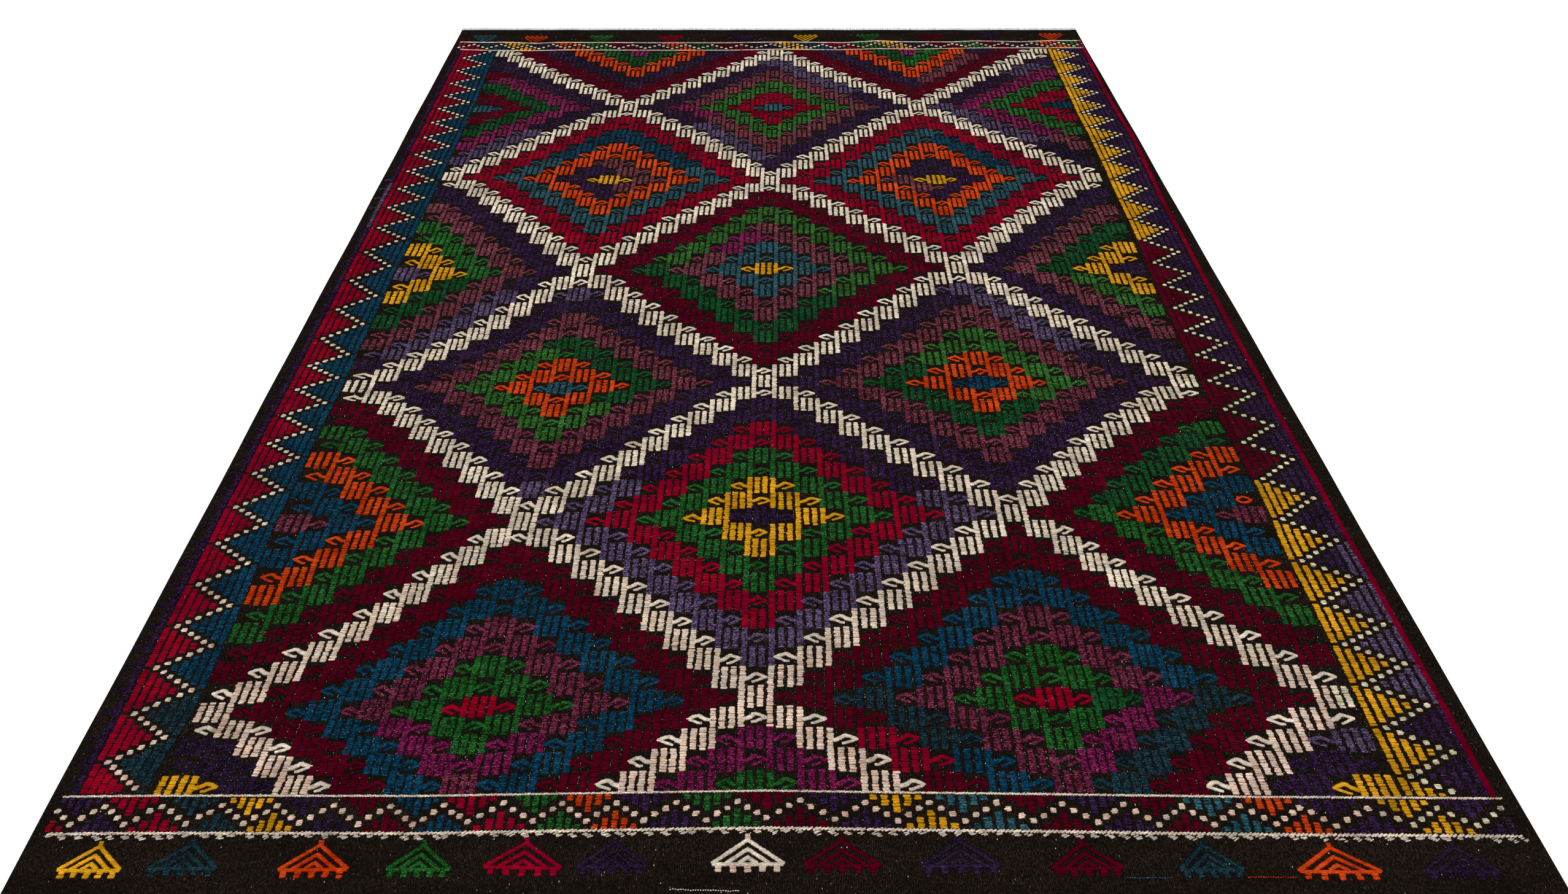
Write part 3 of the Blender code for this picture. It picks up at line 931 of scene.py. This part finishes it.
def make_line(end, which, pitch, length, thickness, slant, tint, late):
    x = np.arange(-HALF_WIDTH + LINE_MARGIN + (1 + late) * MM, LINE_RIGHT[end], pitch * MM)
    count = len(x)
    x = x + jitter(0.12 * pitch * MM, count)
    y = line_y(end, which, x) + jitter(0.15 * MM, count)
    colour = shades("cream", y, LINE_LOT) * (1 - tint) + neighbour_tint(end, x) * tint * TINT_LIGHT
    half_length = length * MM / 2 * (1 + jitter(0.1, count))
    turn = slant + jitter(0.08, count)
    YARNS["cream"].add(x, y, half_length, thickness * MM / 2, turn, tops(count) + LINE_RISE, colour)


def make_dashes():
    """The broken second row of the near outer line, close under it."""
    for middle in np.arange(-HALF_WIDTH + LINE_MARGIN + 6 * MM, HALF_WIDTH - LINE_MARGIN, DASH_PITCH):
        middle += jitter(1.8 * MM)
        count = RNG.integers(2, 5)
        step = np.arange(count)
        x = middle + DASH_STEP * (step - 1) + jitter(0.7 * MM, count)
        y = line_y(NEAR, OUTER, x) - (DASH_DROP[0] + DASH_DROP[1] * step) * MM + jitter(0.4 * MM, count)
        lot = 0.86 + jitter(0.08)
        turn = DASH_SLANT + jitter(0.12, count)
        floats("cream", x, y, DASH_LENGTH / 2 * (1 + jitter(0.15, count)), DASH_THICKNESS / 2, turn, lot)


def make_stray_stitches():
    for start, stop, y, dye in STRAY_STITCHES:
        x = np.arange(start, stop, STRAY_STEP)
        y = y + jitter(0.3 * MM, len(x))
        floats(dye, x, y, 1.1 * MM, 0.8 * MM, 0.3, top_shift=-0.5 * MM)


def fleck_share(x, y):
    """How many of the gaps' warp stitches show their light side, from place to place."""
    cloudy = np.sin(8.3 * x + 2.1) * np.sin(6.1 * y + 0.6) + 0.5 * np.sin(21 * x - 13 * y)
    return 0.08 + 0.16 * np.clip(cloudy + 0.3, 0, 1) + 0.12 * np.clip((-0.85 - y) / 0.3, 0, 1)


def add_flecks(x, y, top, brightest):
    count = len(x)
    colour = linear(COTTON)[None] * brightest * RNG.uniform(0.2, 1.0, count)[:, None] ** 2
    half_length = RNG.uniform(0.5, 1.1, count) * MM
    WARP_FLECKS.add(x, y, half_length, FLECK_WIDTH / 2, RNG.uniform(1.3, 1.8, count), top, colour)


def make_flecks():
    """The light warp, where it shows: dotted lines down the gaps of the field, and single stitches."""
    rows = np.arange(0.1, ROWS - 0.1, FLECK_ROW_STEP)
    for column in range(FIRST_COLUMN, END_COLUMN + 1):
        x, y = weave_point(np.full_like(rows, column), rows + jitter(0.02, len(rows)))
        shown = RNG.random(len(rows)) < fleck_share(x, y)
        add_flecks(x[shown] + jitter(0.2 * MM, shown.sum()), y[shown], GAP_FLECK_TOP, GAP_FLECK_LIGHT)
    x, y = (RNG.uniform(*limits, FLECKS) for limits in FLECK_AREA)
    add_flecks(x, y, YARN_TOP + 0.1 * MM, 1.0)


# ================================================================ meshes


def new_object(name, mesh):
    item = bpy.data.objects.new(name, mesh)
    bpy.context.scene.collection.objects.link(item)
    return item


def smooth_object(name, points, faces):
    mesh = bpy.data.meshes.new(name)
    mesh.from_pydata(points, [], faces)
    mesh.validate()
    mesh.update()
    mesh.shade_smooth()
    return new_object(name, mesh)


class Shape:
    """The mesh of one stitch: points as (share of half length, share of half width, is top), and faces."""

    def __init__(self, points, faces):
        self.points = np.array(points)
        self.corners = np.array([corner for face in faces for corner in face])
        self.sides = np.array([len(face) for face in faces])


# A float is a small pillow, low all round with a ridge along it, and a fleck is a low peak
PILLOW = Shape(
    points=(
        (-1.0, 0.0, 0), (-0.74, -1.0, 0), (0.74, -1.0, 0), (1.0, 0.0, 0),
        (0.74, 1.0, 0), (-0.74, 1.0, 0), (-0.66, 0.0, 1), (0.66, 0.0, 1),
    ),
    faces=((1, 2, 7, 6), (4, 5, 6, 7), (0, 1, 6), (5, 0, 6), (2, 3, 7), (3, 4, 7)),
)
PEAK = Shape(
    points=((-1, -1, 0), (1, -1, 0), (1, 1, 0), (-1, 1, 0), (0, 0, 1)),
    faces=((0, 1, 4), (1, 2, 4), (2, 3, 4), (3, 0, 4)),
)
# How much of its square of the baked picture a stitch fills, and how far each one's strands are moved
# along from the last one's
CELL_FILL = 0.86
STRAND_SHIFT, STRAND_SHIFTS = 7.3, 50


def stitch_mesh(name, points, shape):
    """A mesh of many stitches of one shape, from the points of each."""
    count, corner_count = points.shape[:2]
    corners = (shape.corners[None] + corner_count * np.arange(count)[:, None]).ravel()
    sizes = np.tile(shape.sides, count)
    mesh = bpy.data.meshes.new(name)
    mesh.vertices.add(count * corner_count)
    mesh.vertices.foreach_set("co", points.astype(np.float32).ravel())
    mesh.loops.add(len(corners))
    mesh.loops.foreach_set("vertex_index", corners.astype(np.int32))
    mesh.polygons.add(len(sizes))
    mesh.polygons.foreach_set("loop_start", (np.cumsum(sizes) - sizes).astype(np.int32))
    mesh.update(calc_edges=True)
    mesh.shade_smooth()
    return mesh


def add_attribute(mesh, name, kind, field, values):
    data = mesh.attributes.new(name, kind, "POINT").data
    data.foreach_set(field, values.astype(np.float32).ravel())


def add_uv(mesh, name, uv):
    mesh.uv_layers.new(name=name).data.foreach_set("uv", uv.astype(np.float32).ravel())


def make_yarn_piece(name, yarn, shape, mottled=0.0):
    """One mesh of all the stitches of a yarn, with a colour on each and two UV maps."""
    rows = np.concatenate(yarn.rows)
    count, corner_count = len(rows), len(shape.points)
    x, y, half_length, half_width, angle, top = rows[:, :6].T[..., None]
    a, b = shape.points[:, 0] * half_length, shape.points[:, 1] * half_width
    points = np.empty((count, corner_count, 3))
    points[..., 0] = x + a * np.cos(angle) - b * np.sin(angle)
    points[..., 1] = y + a * np.sin(angle) + b * np.cos(angle)
    points[..., 2] = np.where(shape.points[:, 2] > 0, top, YARN_FOOT)
    mesh = stitch_mesh(name, points, shape)

    add_attribute(mesh, "mottle", "FLOAT", "value", np.full(count * corner_count, mottled))
    # ridge is 1 on a stitch's crest and 0 at its foot: from it the wool material paints shade at the feet,
    # where floats meet, and light along the crests
    add_attribute(mesh, "ridge", "FLOAT", "value", np.tile(shape.points[:, 2], count))
    rgba = np.ones((count, corner_count, 4))
    rgba[..., :3] = rows[:, 6:9].clip(0.0, 1.0)[:, None]
    add_attribute(mesh, "dye", "FLOAT_COLOR", "color", rgba)

    cells = math.ceil(math.sqrt(count))
    number = np.arange(count)
    cell = np.stack([number % cells, number // cells], 1)[:, None]
    outline = shape.points[shape.corners][None, :, :2]
    add_uv(mesh, "OFBake", (cell + 0.5 + outline * CELL_FILL / 2) / cells)
    strands = np.maximum(1, np.round(2 * half_width / STRAND))
    size = np.stack([half_length, half_width], -1)
    per_strand = np.stack([np.full((count, 1), 1 / STRAND), strands / (2 * half_width)], -1)
    offset = np.stack([STRAND_SHIFT * number[:, None] % STRAND_SHIFTS, 0.5 * (strands % 2)], -1)
    add_uv(mesh, "yarn", outline * size * per_strand + offset)
    mesh.validate()
    return new_object(name, mesh)


# The ground's mesh: where its points lie in from an end and from a side, and how far apart
END_POINTS = (0.0, RIM_BEVEL, 0.004, 0.010)
LENGTH_POINTS, LENGTH_START = 170, 0.018
SELVEDGE_POINTS = np.arange(0.0025, SELVEDGE_WIDTH, 0.0015)
WIDTH_POINTS, RIB_POINTS = 110, 7
# The waves of its face, the cords of its selvedges and how far they fade, and the rise of the red rib
FACE_WAVE, CORD_WAVE, CORD_PITCH, CORD_FADE = 0.12 * MM, 0.45 * MM, 0.0048, 0.004
RIB_HEIGHT = 0.8 * MM


def mirrored(values, length):
    """Places from a start inwards, and the same from the end of a length."""
    return np.array(values), (length - np.array(values))[::-1]


def ground_face():
    """The points of the ground's uneven face, row by row."""
    start, end = mirrored(END_POINTS, CLOTH_LENGTH)
    middle = np.linspace(LENGTH_START, CLOTH_LENGTH - LENGTH_START, LENGTH_POINTS)
    along = np.concatenate([start, middle, end])
    left, right = mirrored((0.0, RIM_BEVEL, *SELVEDGE_POINTS), CLOTH_WIDTH)
    rib_start = CLOTH_WIDTH - SELVEDGE_WIDTH - RED_RIB_WIDTH
    middle = np.linspace(SELVEDGE_WIDTH, rib_start - BROCADE_RISE, WIDTH_POINTS)
    rib = rib_start + np.linspace(0, RED_RIB_WIDTH, RIB_POINTS)
    across = np.concatenate([left, middle, rib, right])

    x0, y0 = np.meshgrid(across - HALF_WIDTH, along - HALF_LENGTH)
    x, y = place(x0, y0)
    inset = HALF_WIDTH - np.abs(x0)
    selvedge = np.clip((SELVEDGE_WIDTH - inset) / CORD_FADE, 0, 1)
    z = PLAIN_TOP + FACE_WAVE * np.sin(9 * x + 4 * y) * np.cos(6 * y)
    z += selvedge * CORD_WAVE * np.cos(2 * np.pi * inset / CORD_PITCH) ** 2
    z += RIB_HEIGHT * np.sin(np.pi * np.clip((x0 - RIB_INNER) / RED_RIB_WIDTH, 0, 1))
    for line in (z[0], z[-1], z[:, 0], z[:, -1]):
        line[:] = PLAIN_TOP - RIM_BEVEL
    return np.stack([x, y, z], -1)


def make_ground():
    """The ground cloth: a closed thin sheet with the solids' outline."""
    face = ground_face()
    top = face.reshape(-1, 3)
    index = np.arange(len(top)).reshape(face.shape[:2])
    quads = np.stack([index[:-1, :-1], index[:-1, 1:], index[1:, 1:], index[1:, :-1]], -1).reshape(-1, 4)
    border = np.concatenate([index[0, :], index[1:, -1], index[-1, -2::-1], index[-2:0:-1, 0]])
    feet = top[border] * (1, 1, 0)
    below = len(top) + np.arange(len(border))
    walls = np.stack([np.roll(border, -1), border, below, np.roll(below, -1)], -1)
    faces = [*np.concatenate([quads, walls]).tolist(), below[::-1].tolist()]
    ground = smooth_object("ground_cloth", np.concatenate([top, feet]).tolist(), faces)
    ground.data.set_sharp_from_angle(angle=math.radians(50))
    return ground


# The fringe: how many strands an end has, the sides of each, and its thickness at its stations
STRANDS, STRAND_SIDES = 720, 4
STRAND_TAPER = (1.0, 0.95, 0.85, 0.7, 0.35)
# How far strands and twists keep off the cloth's side: a root, its tip and a twist
ROOT_MARGIN, TIP_MARGIN, TWIST_MARGIN = 0.8 * MM, 0.3 * MM, 0.2 * MM
TWIST_INSET, TWIST_REACH = 0.75 * MM, 0.62
TWIST_HEIGHTS, TWIST_RADII = (0.75 * MM, 0.95 * MM, 0.75 * MM), (0.5 * MM, 0.72 * MM, 0.5 * MM)


def within(x, margin):
    return min(max(x, -HALF_WIDTH + margin), HALF_WIDTH - margin)


def seam_y(x, end):
    """How far from the middle the fringe starts at X."""
    return HALF_LENGTH - float(end_draw_in(np.array(x), end)) + SEAM_GAP


def add_tube(verts, faces, path, radii):
    """A closed tube of a few sides round a path."""
    base, path = len(verts), np.asarray(path)
    last = len(path) - 1
    for k, (point, radius) in enumerate(zip(path, radii)):
        ahead = path[min(k + 1, last)] - path[max(k - 1, 0)]
        ahead = ahead / np.linalg.norm(ahead)
        side = np.cross(ahead, (0, 0, 1.0))
        side = side / np.linalg.norm(side)
        up = np.cross(side, ahead)
        for s in range(STRAND_SIDES):
            turn = 2 * math.pi * (s + 0.5) / STRAND_SIDES
            verts.append(tuple(point + radius * (math.cos(turn) * side + math.sin(turn) * up)))
    rings = [[base + k * STRAND_SIDES + s for s in range(STRAND_SIDES)] for k in range(last + 1)]
    for ring, following in zip(rings, rings[1:]):
        for s in range(STRAND_SIDES):
            after = (s + 1) % STRAND_SIDES
            faces.append((ring[s], ring[after], following[after], following[s]))
    faces.append(rings[0][::-1])
    faces.append(rings[-1])


def strand_path(k, end):
    """The path and thickness of one cut warp end, which lies in a clump with its neighbours."""
    pitch = CLOTH_WIDTH / STRANDS
    x = within(-HALF_WIDTH + (k + 0.5) * pitch + jitter(0.2 * pitch), ROOT_MARGIN)
    seam = seam_y(x, end)
    length = STRIP_WIDTH + LOCK_LENGTH - RNG.random() * LOCK_LENGTH_SPREAD * 1.3
    clump = math.sin(k * 0.9 + end) + 0.6 * math.sin(k * 0.23 + 2 * end)
    drift = (1.1 * clump + jitter(0.9)) * MM
    lift = 0.9 * MM + min(abs(jitter(0.9 * MM)), 1.6 * MM)
    thick = (0.42 + 0.12 * RNG.random()) * MM
    path = []
    for t in np.linspace(0, 1, len(STRAND_TAPER)):
        height = thick + (1 - t) * 0.5 * MM + lift * math.sin(math.pi * t) * 0.7
        path.append((within(x + drift * t * t, TIP_MARGIN), end * (seam + length * t), height))
    return path, thick


def make_fringe(name, end):
    """The cut warp ends: fine tapered strands out of a narrow twined strip."""
    verts, faces = [], []
    for k in range(STRANDS):
        path, thick = strand_path(k, end)
        add_tube(verts, faces, path, [thick * share for share in STRAND_TAPER])
    pitch = CLOTH_WIDTH / (STRANDS // 2)
    for k in range(STRANDS // 2):
        x = -HALF_WIDTH + (k + 0.5) * pitch
        seam = seam_y(x, end)
        low, high = seam + TWIST_INSET, seam + STRIP_WIDTH - TWIST_INSET
        xs = [within(x + share * pitch * TWIST_REACH, TWIST_MARGIN) for share in (-1, 0, 1)]
        ys = (end * low, end * (low + high) / 2, end * high)
        add_tube(verts, faces, list(zip(xs, ys, TWIST_HEIGHTS)), TWIST_RADII)
    return smooth_object(name, verts, faces)


# ================================================================ materials


class Nodes:
    """Short ways to add and join the nodes of one material."""

    def __init__(self, name):
        self.material = bpy.data.materials.new(name)
        self.material.use_nodes = True
        self.tree = self.material.node_tree
        self.shader = self.tree.nodes["Principled BSDF"]

    def add(self, kind, inputs=None, **settings):
        node = self.tree.nodes.new(kind)
        for key, value in settings.items():
            setattr(node, key, value)
        for key, value in (inputs or {}).items():
            self.put(node, key, value)
        return node

    def put(self, node, key, value):
        if isinstance(value, bpy.types.NodeSocket):
            self.tree.links.new(value, node.inputs[key])
        elif isinstance(value, bpy.types.Node):
            self.tree.links.new(value.outputs[0], node.inputs[key])
        else:
            node.inputs[key].default_value = value

    def where(self):
        return self.add("ShaderNodeTexCoord").outputs["Object"]

    def attribute(self, name, output):
        node = self.add("ShaderNodeAttribute", attribute_name=name, attribute_type="GEOMETRY")
        return node.outputs[output]

    def math(self, operation, a, b=0.5, clamp=False):
        return self.add("ShaderNodeMath", {0: a, 1: b}, operation=operation, use_clamp=clamp)

    def times(self, first, *others, clamp=False):
        for other in others:
            first = self.math("MULTIPLY", first, other, clamp)
        return first

    def total(self, first, *others):
        for other in others:
            first = self.math("ADD", first, other)
        return first

    def spread(self, value, low, high, from_low=0.0, from_high=1.0):
        inputs = {"Value": value, "From Min": from_low, "From Max": from_high, "To Min": low, "To Max": high}
        return self.add("ShaderNodeMapRange", inputs)

    def noise(self, vector, scale, detail=2.0, roughness=0.5):
        inputs = {"Vector": vector, "Scale": scale, "Detail": detail, "Roughness": roughness}
        return self.add("ShaderNodeTexNoise", inputs)

    def scaled(self, vector, *factors):
        return self.add("ShaderNodeVectorMath", {0: vector, 1: factors}, operation="MULTIPLY")

    def mix(self, factor, first, second):
        """The socket of a colour between two others, each a socket or sRGB values."""
        node = self.add("ShaderNodeMix", data_type="RGBA")
        colours = [v if isinstance(v, bpy.types.NodeSocket) else (*linear(v), 1.0) for v in (first, second)]
        for key, value in zip((0, 6, 7), (factor, *colours)):
            self.put(node, key, value)
        return node.outputs[2]

    def finish(self, colour, roughness, specular=0.0, sheen=0.0):
        self.put(self.shader, "Base Color", colour)
        self.put(self.shader, "Roughness", roughness)
        self.put(self.shader, "Specular IOR Level", specular)
        self.put(self.shader, "Sheen Weight", sheen)
        return self.material

    def bump(self, height, strength, depth):
        inputs = {"Height": height, "Strength": strength, "Distance": depth}
        self.put(self.shader, "Normal", self.add("ShaderNodeBump", inputs))


def wool_material():
    """Loosely spun wool. Its colour comes from each float, its strands from the yarn's own UV map."""
    n = Nodes("dyed_wool")
    where = n.where()
    u, v, _ = n.add("ShaderNodeSeparateXYZ", {0: n.add("ShaderNodeUVMap", uv_map="yarn")}).outputs
    slant = n.total(v, n.times(u, 0.16))
    along = n.add("ShaderNodeCombineXYZ", {0: n.times(u, 0.55), 1: slant})
    fibre = n.noise(n.scaled(along, 1.0, 2.6, 1.0), 1.9, 3.0, 0.62)
    strand = n.noise(n.scaled(along, 0.7, 1.5, 1.0), 1.3, 1.0)
    patch = n.noise(where, 26.0, 2.0)
    lot = n.noise(n.scaled(where, 0.6, 3.0, 1.0), 5.0, 1.0)
    wave = n.math("COSINE", n.times(slant, 2 * math.pi))
    mottle = n.attribute("mottle", "Fac")
    light = n.times(
        n.spread(fibre, 0.36, 1.60, 0.25, 0.75),
        n.spread(patch, 0.76, 1.24, 0.3, 0.7),
        n.spread(lot, 0.90, 1.10, 0.3, 0.7),
        # Painted shade in the grooves between a float's strands, and painted light on their crests
        n.spread(wave, 0.56, 1.10, -1.0, 0.3),
        # Painted shade at each float's feet, where it meets its neighbours, and painted light along its
        # crest
        n.spread(n.attribute("ridge", "Fac"), 0.25, 1.14, 0.14, 0.54),
        n.total(n.times(mottle, n.spread(strand, -0.65, 2.3, 0.42, 0.70)), 1.0),
    )
    # Painted shade: where the painted shade and the wool's uneven tone make a float darker, its colour is
    # made deeper and a little redder, as in shade
    lit = {
        "Color": n.attribute("dye", "Color"),
        "Hue": n.spread(light, 0.486, 0.502, 0.3, 1.2),
        "Saturation": n.spread(light, 1.4, 1.0, 0.3, 1.0),
        "Value": light,
    }
    # Painted sheen: a grey highlight mixed into the brightest strands of the mottled wools
    painted_sheen = n.times(mottle, n.spread(strand, 0.0, SHEEN_SHARE, 0.62, 0.76))
    ply = n.math("SINE", n.total(n.times(u, 3.1), n.times(v, 5.0)))
    n.bump(n.total(n.times(wave, 0.4), n.times(ply, 0.16), n.times(fibre, 0.6)), 0.8, 0.5 * MM)
    return n.finish(n.mix(painted_sheen, n.add("ShaderNodeHueSaturation", lit).outputs[0], SHEEN_GREY), 0.88)


def fleck_material():
    n = Nodes("warp_fleck")
    return n.finish(n.attribute("dye", "Color"), 0.92)


def ground_material():
    """Dark brown wool, weft-faced: warp ribs along the rug, with small light flecks on them."""
    n = Nodes("ground_wool")
    where = n.where()
    x, y, _ = n.add("ShaderNodeSeparateXYZ", {0: where}).outputs
    bend = n.noise(n.scaled(where, 1.0, 0.3, 1.0), 40.0, 2.0)
    rib = n.math("COSINE", n.times(n.total(x, n.times(bend, 0.003)), 2 * math.pi / RIB_PITCH))
    pick = n.math("COSINE", n.times(n.total(y, n.times(bend, 0.004)), 2 * math.pi / PICK_PITCH))
    fine = n.noise(n.scaled(where, 1.0, 0.4, 1.0), 760.0, 3.0, 0.65)
    patch = n.noise(n.scaled(where, 0.8, 2.4, 1.0), 9.0, 3.0)
    # Painted shade: the rib and pick factors darken the valleys between the warp ribs and between the picks;
    # fine and patch are the wool's own uneven tone
    brown = n.times(
        n.spread(fine, 0.0, 1.0, 0.42, 0.68),
        n.spread(rib, 0.15, 1.0, -0.8, 0.8),
        n.spread(pick, 0.75, 1.0, -1.0, 1.0),
        n.spread(patch, 0.4, 1.1, 0.3, 0.7),
        clamp=True,
    )
    fleck = n.spread(n.noise(n.scaled(where, 1.0, 0.42, 1.0), 480.0, 1.0, 0.4), 0.0, 0.6, 0.70, 0.82)
    n.bump(n.total(n.times(rib, 0.5), n.times(pick, 0.12), n.times(fine, 0.6)), 0.7, 0.5 * MM)
    return n.finish(n.mix(fleck, n.mix(brown, GROUND_DARK, GROUND_BROWN), FLECK), 0.92)


def cotton_material():
    n = Nodes("warp_cotton")
    where = n.where()
    fine = n.noise(n.scaled(where, 1.0, 0.3, 1.0), 1100.0, 3.0, 0.6)
    patch = n.noise(where, 60.0, 2.0)
    light = n.times(n.spread(fine, 0.2, 1.0, 0.3, 0.7), n.spread(patch, 0.5, 1.1, 0.3, 0.7), clamp=True)
    n.bump(n.math("SINE", n.times(fine, 14.0)), 0.5, 0.3 * MM)
    return n.finish(n.mix(light, COTTON_SHADE, COTTON), 0.92, specular=0.5, sheen=0.05)


# ================================================================ floor, light and camera

FLOOR_SIZE, FLOOR_Z = 9.0, -0.0002
FLOOR_WHITE, FLOOR_ROUGHNESS = (0.92, 0.92, 0.92, 1.0), 0.8
SKY_STRENGTH = 0.72
SUN_STRENGTH, SUN_ANGLE, SUN_COLOUR = 1.9, 14, (1.0, 0.985, 0.96)
SUN_TURN = (38, -22, 0)
LENS, SENSOR = 29.32, 36.0
CAMERA_PLACE = (-0.0284, -2.044, 1.1644)
CAMERA_TURN = (52.76, 0, 0)
CAMERA_SHIFT = 0.0165
CLIP_START, CLIP_END = 0.05, 60.0


def turned_object(name, data, turn):
    item = new_object(name, data)
    item.rotation_euler = [math.radians(angle) for angle in turn]
    return item


def make_floor():
    mesh = bpy.data.meshes.new("floor")
    corners = ((-1, -1), (1, -1), (1, 1), (-1, 1))
    mesh.from_pydata([(x * FLOOR_SIZE, y * FLOOR_SIZE, FLOOR_Z) for x, y in corners], [], [(0, 1, 2, 3)])
    floor = new_object("floor", mesh)
    material = bpy.data.materials.new("floor_white")
    material.use_nodes = True
    shader = material.node_tree.nodes["Principled BSDF"]
    shader.inputs["Base Color"].default_value = FLOOR_WHITE
    shader.inputs["Roughness"].default_value = FLOOR_ROUGHNESS
    mesh.materials.append(material)


def make_stage():
    make_floor()
    scene = bpy.context.scene
    scene.world = bpy.data.worlds.new("studio")
    scene.world.use_nodes = True
    background = scene.world.node_tree.nodes["Background"]
    background.inputs["Color"].default_value = (1.0, 1.0, 1.0, 1.0)
    background.inputs["Strength"].default_value = SKY_STRENGTH

    sun = bpy.data.lights.new("key", "SUN")
    sun.energy = SUN_STRENGTH
    sun.angle = math.radians(SUN_ANGLE)
    sun.color = SUN_COLOUR
    turned_object("key", sun, SUN_TURN)

    camera = bpy.data.cameras.new("camera")
    camera.lens, camera.sensor_width, camera.shift_x = LENS, SENSOR, CAMERA_SHIFT
    camera.clip_start, camera.clip_end = CLIP_START, CLIP_END
    scene.camera = turned_object("camera", camera, CAMERA_TURN)
    scene.camera.location = CAMERA_PLACE
    scene.view_settings.view_transform = "Standard"


# ================================================================ putting it together


def weave():
    """Lays every float and fleck of the rug into its yarn."""
    make_field()
    make_border(LEFT_TURNS, left_border_x, LEFT_OUTSIDE, LEFT_INSIDE)
    make_border(RIGHT_TURNS, right_border_x, RIGHT_INSIDE, RIGHT_OUTSIDE, RIGHT_CHANGES)
    make_left_stripe()
    make_red_rib()
    make_band(FAR)
    make_band(NEAR)
    for end, motifs in MOTIFS.items():
        for x, width, dye in motifs:
            make_motif(end, x * MM, width * MM, dye)
    for line in TWINED_LINES:
        make_line(*line)
    make_dashes()
    make_stray_stitches()
    make_flecks()


def dress(piece, material):
    piece.data.materials.append(material)
    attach(piece, "root")
    return piece


def main():
    weave()
    wool = wool_material()
    for dye, yarn in YARNS.items():
        piece = make_yarn_piece("yarn_" + dye, yarn, PILLOW, MOTTLED.get(dye, 0.0))
        dress(piece, wool)
    flecks = make_yarn_piece("warp_flecks", WARP_FLECKS, PEAK)
    dress(flecks, fleck_material())

    cotton = cotton_material()
    for name, node, end in (("warp_ends_far", "fringe_far", FAR), ("warp_ends_near", "fringe_near", NEAR)):
        fringe = dress(make_fringe(name, end), cotton)
        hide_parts(node)

    ground = dress(make_ground(), ground_material())
    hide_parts("cloth")
    make_stage()


main()
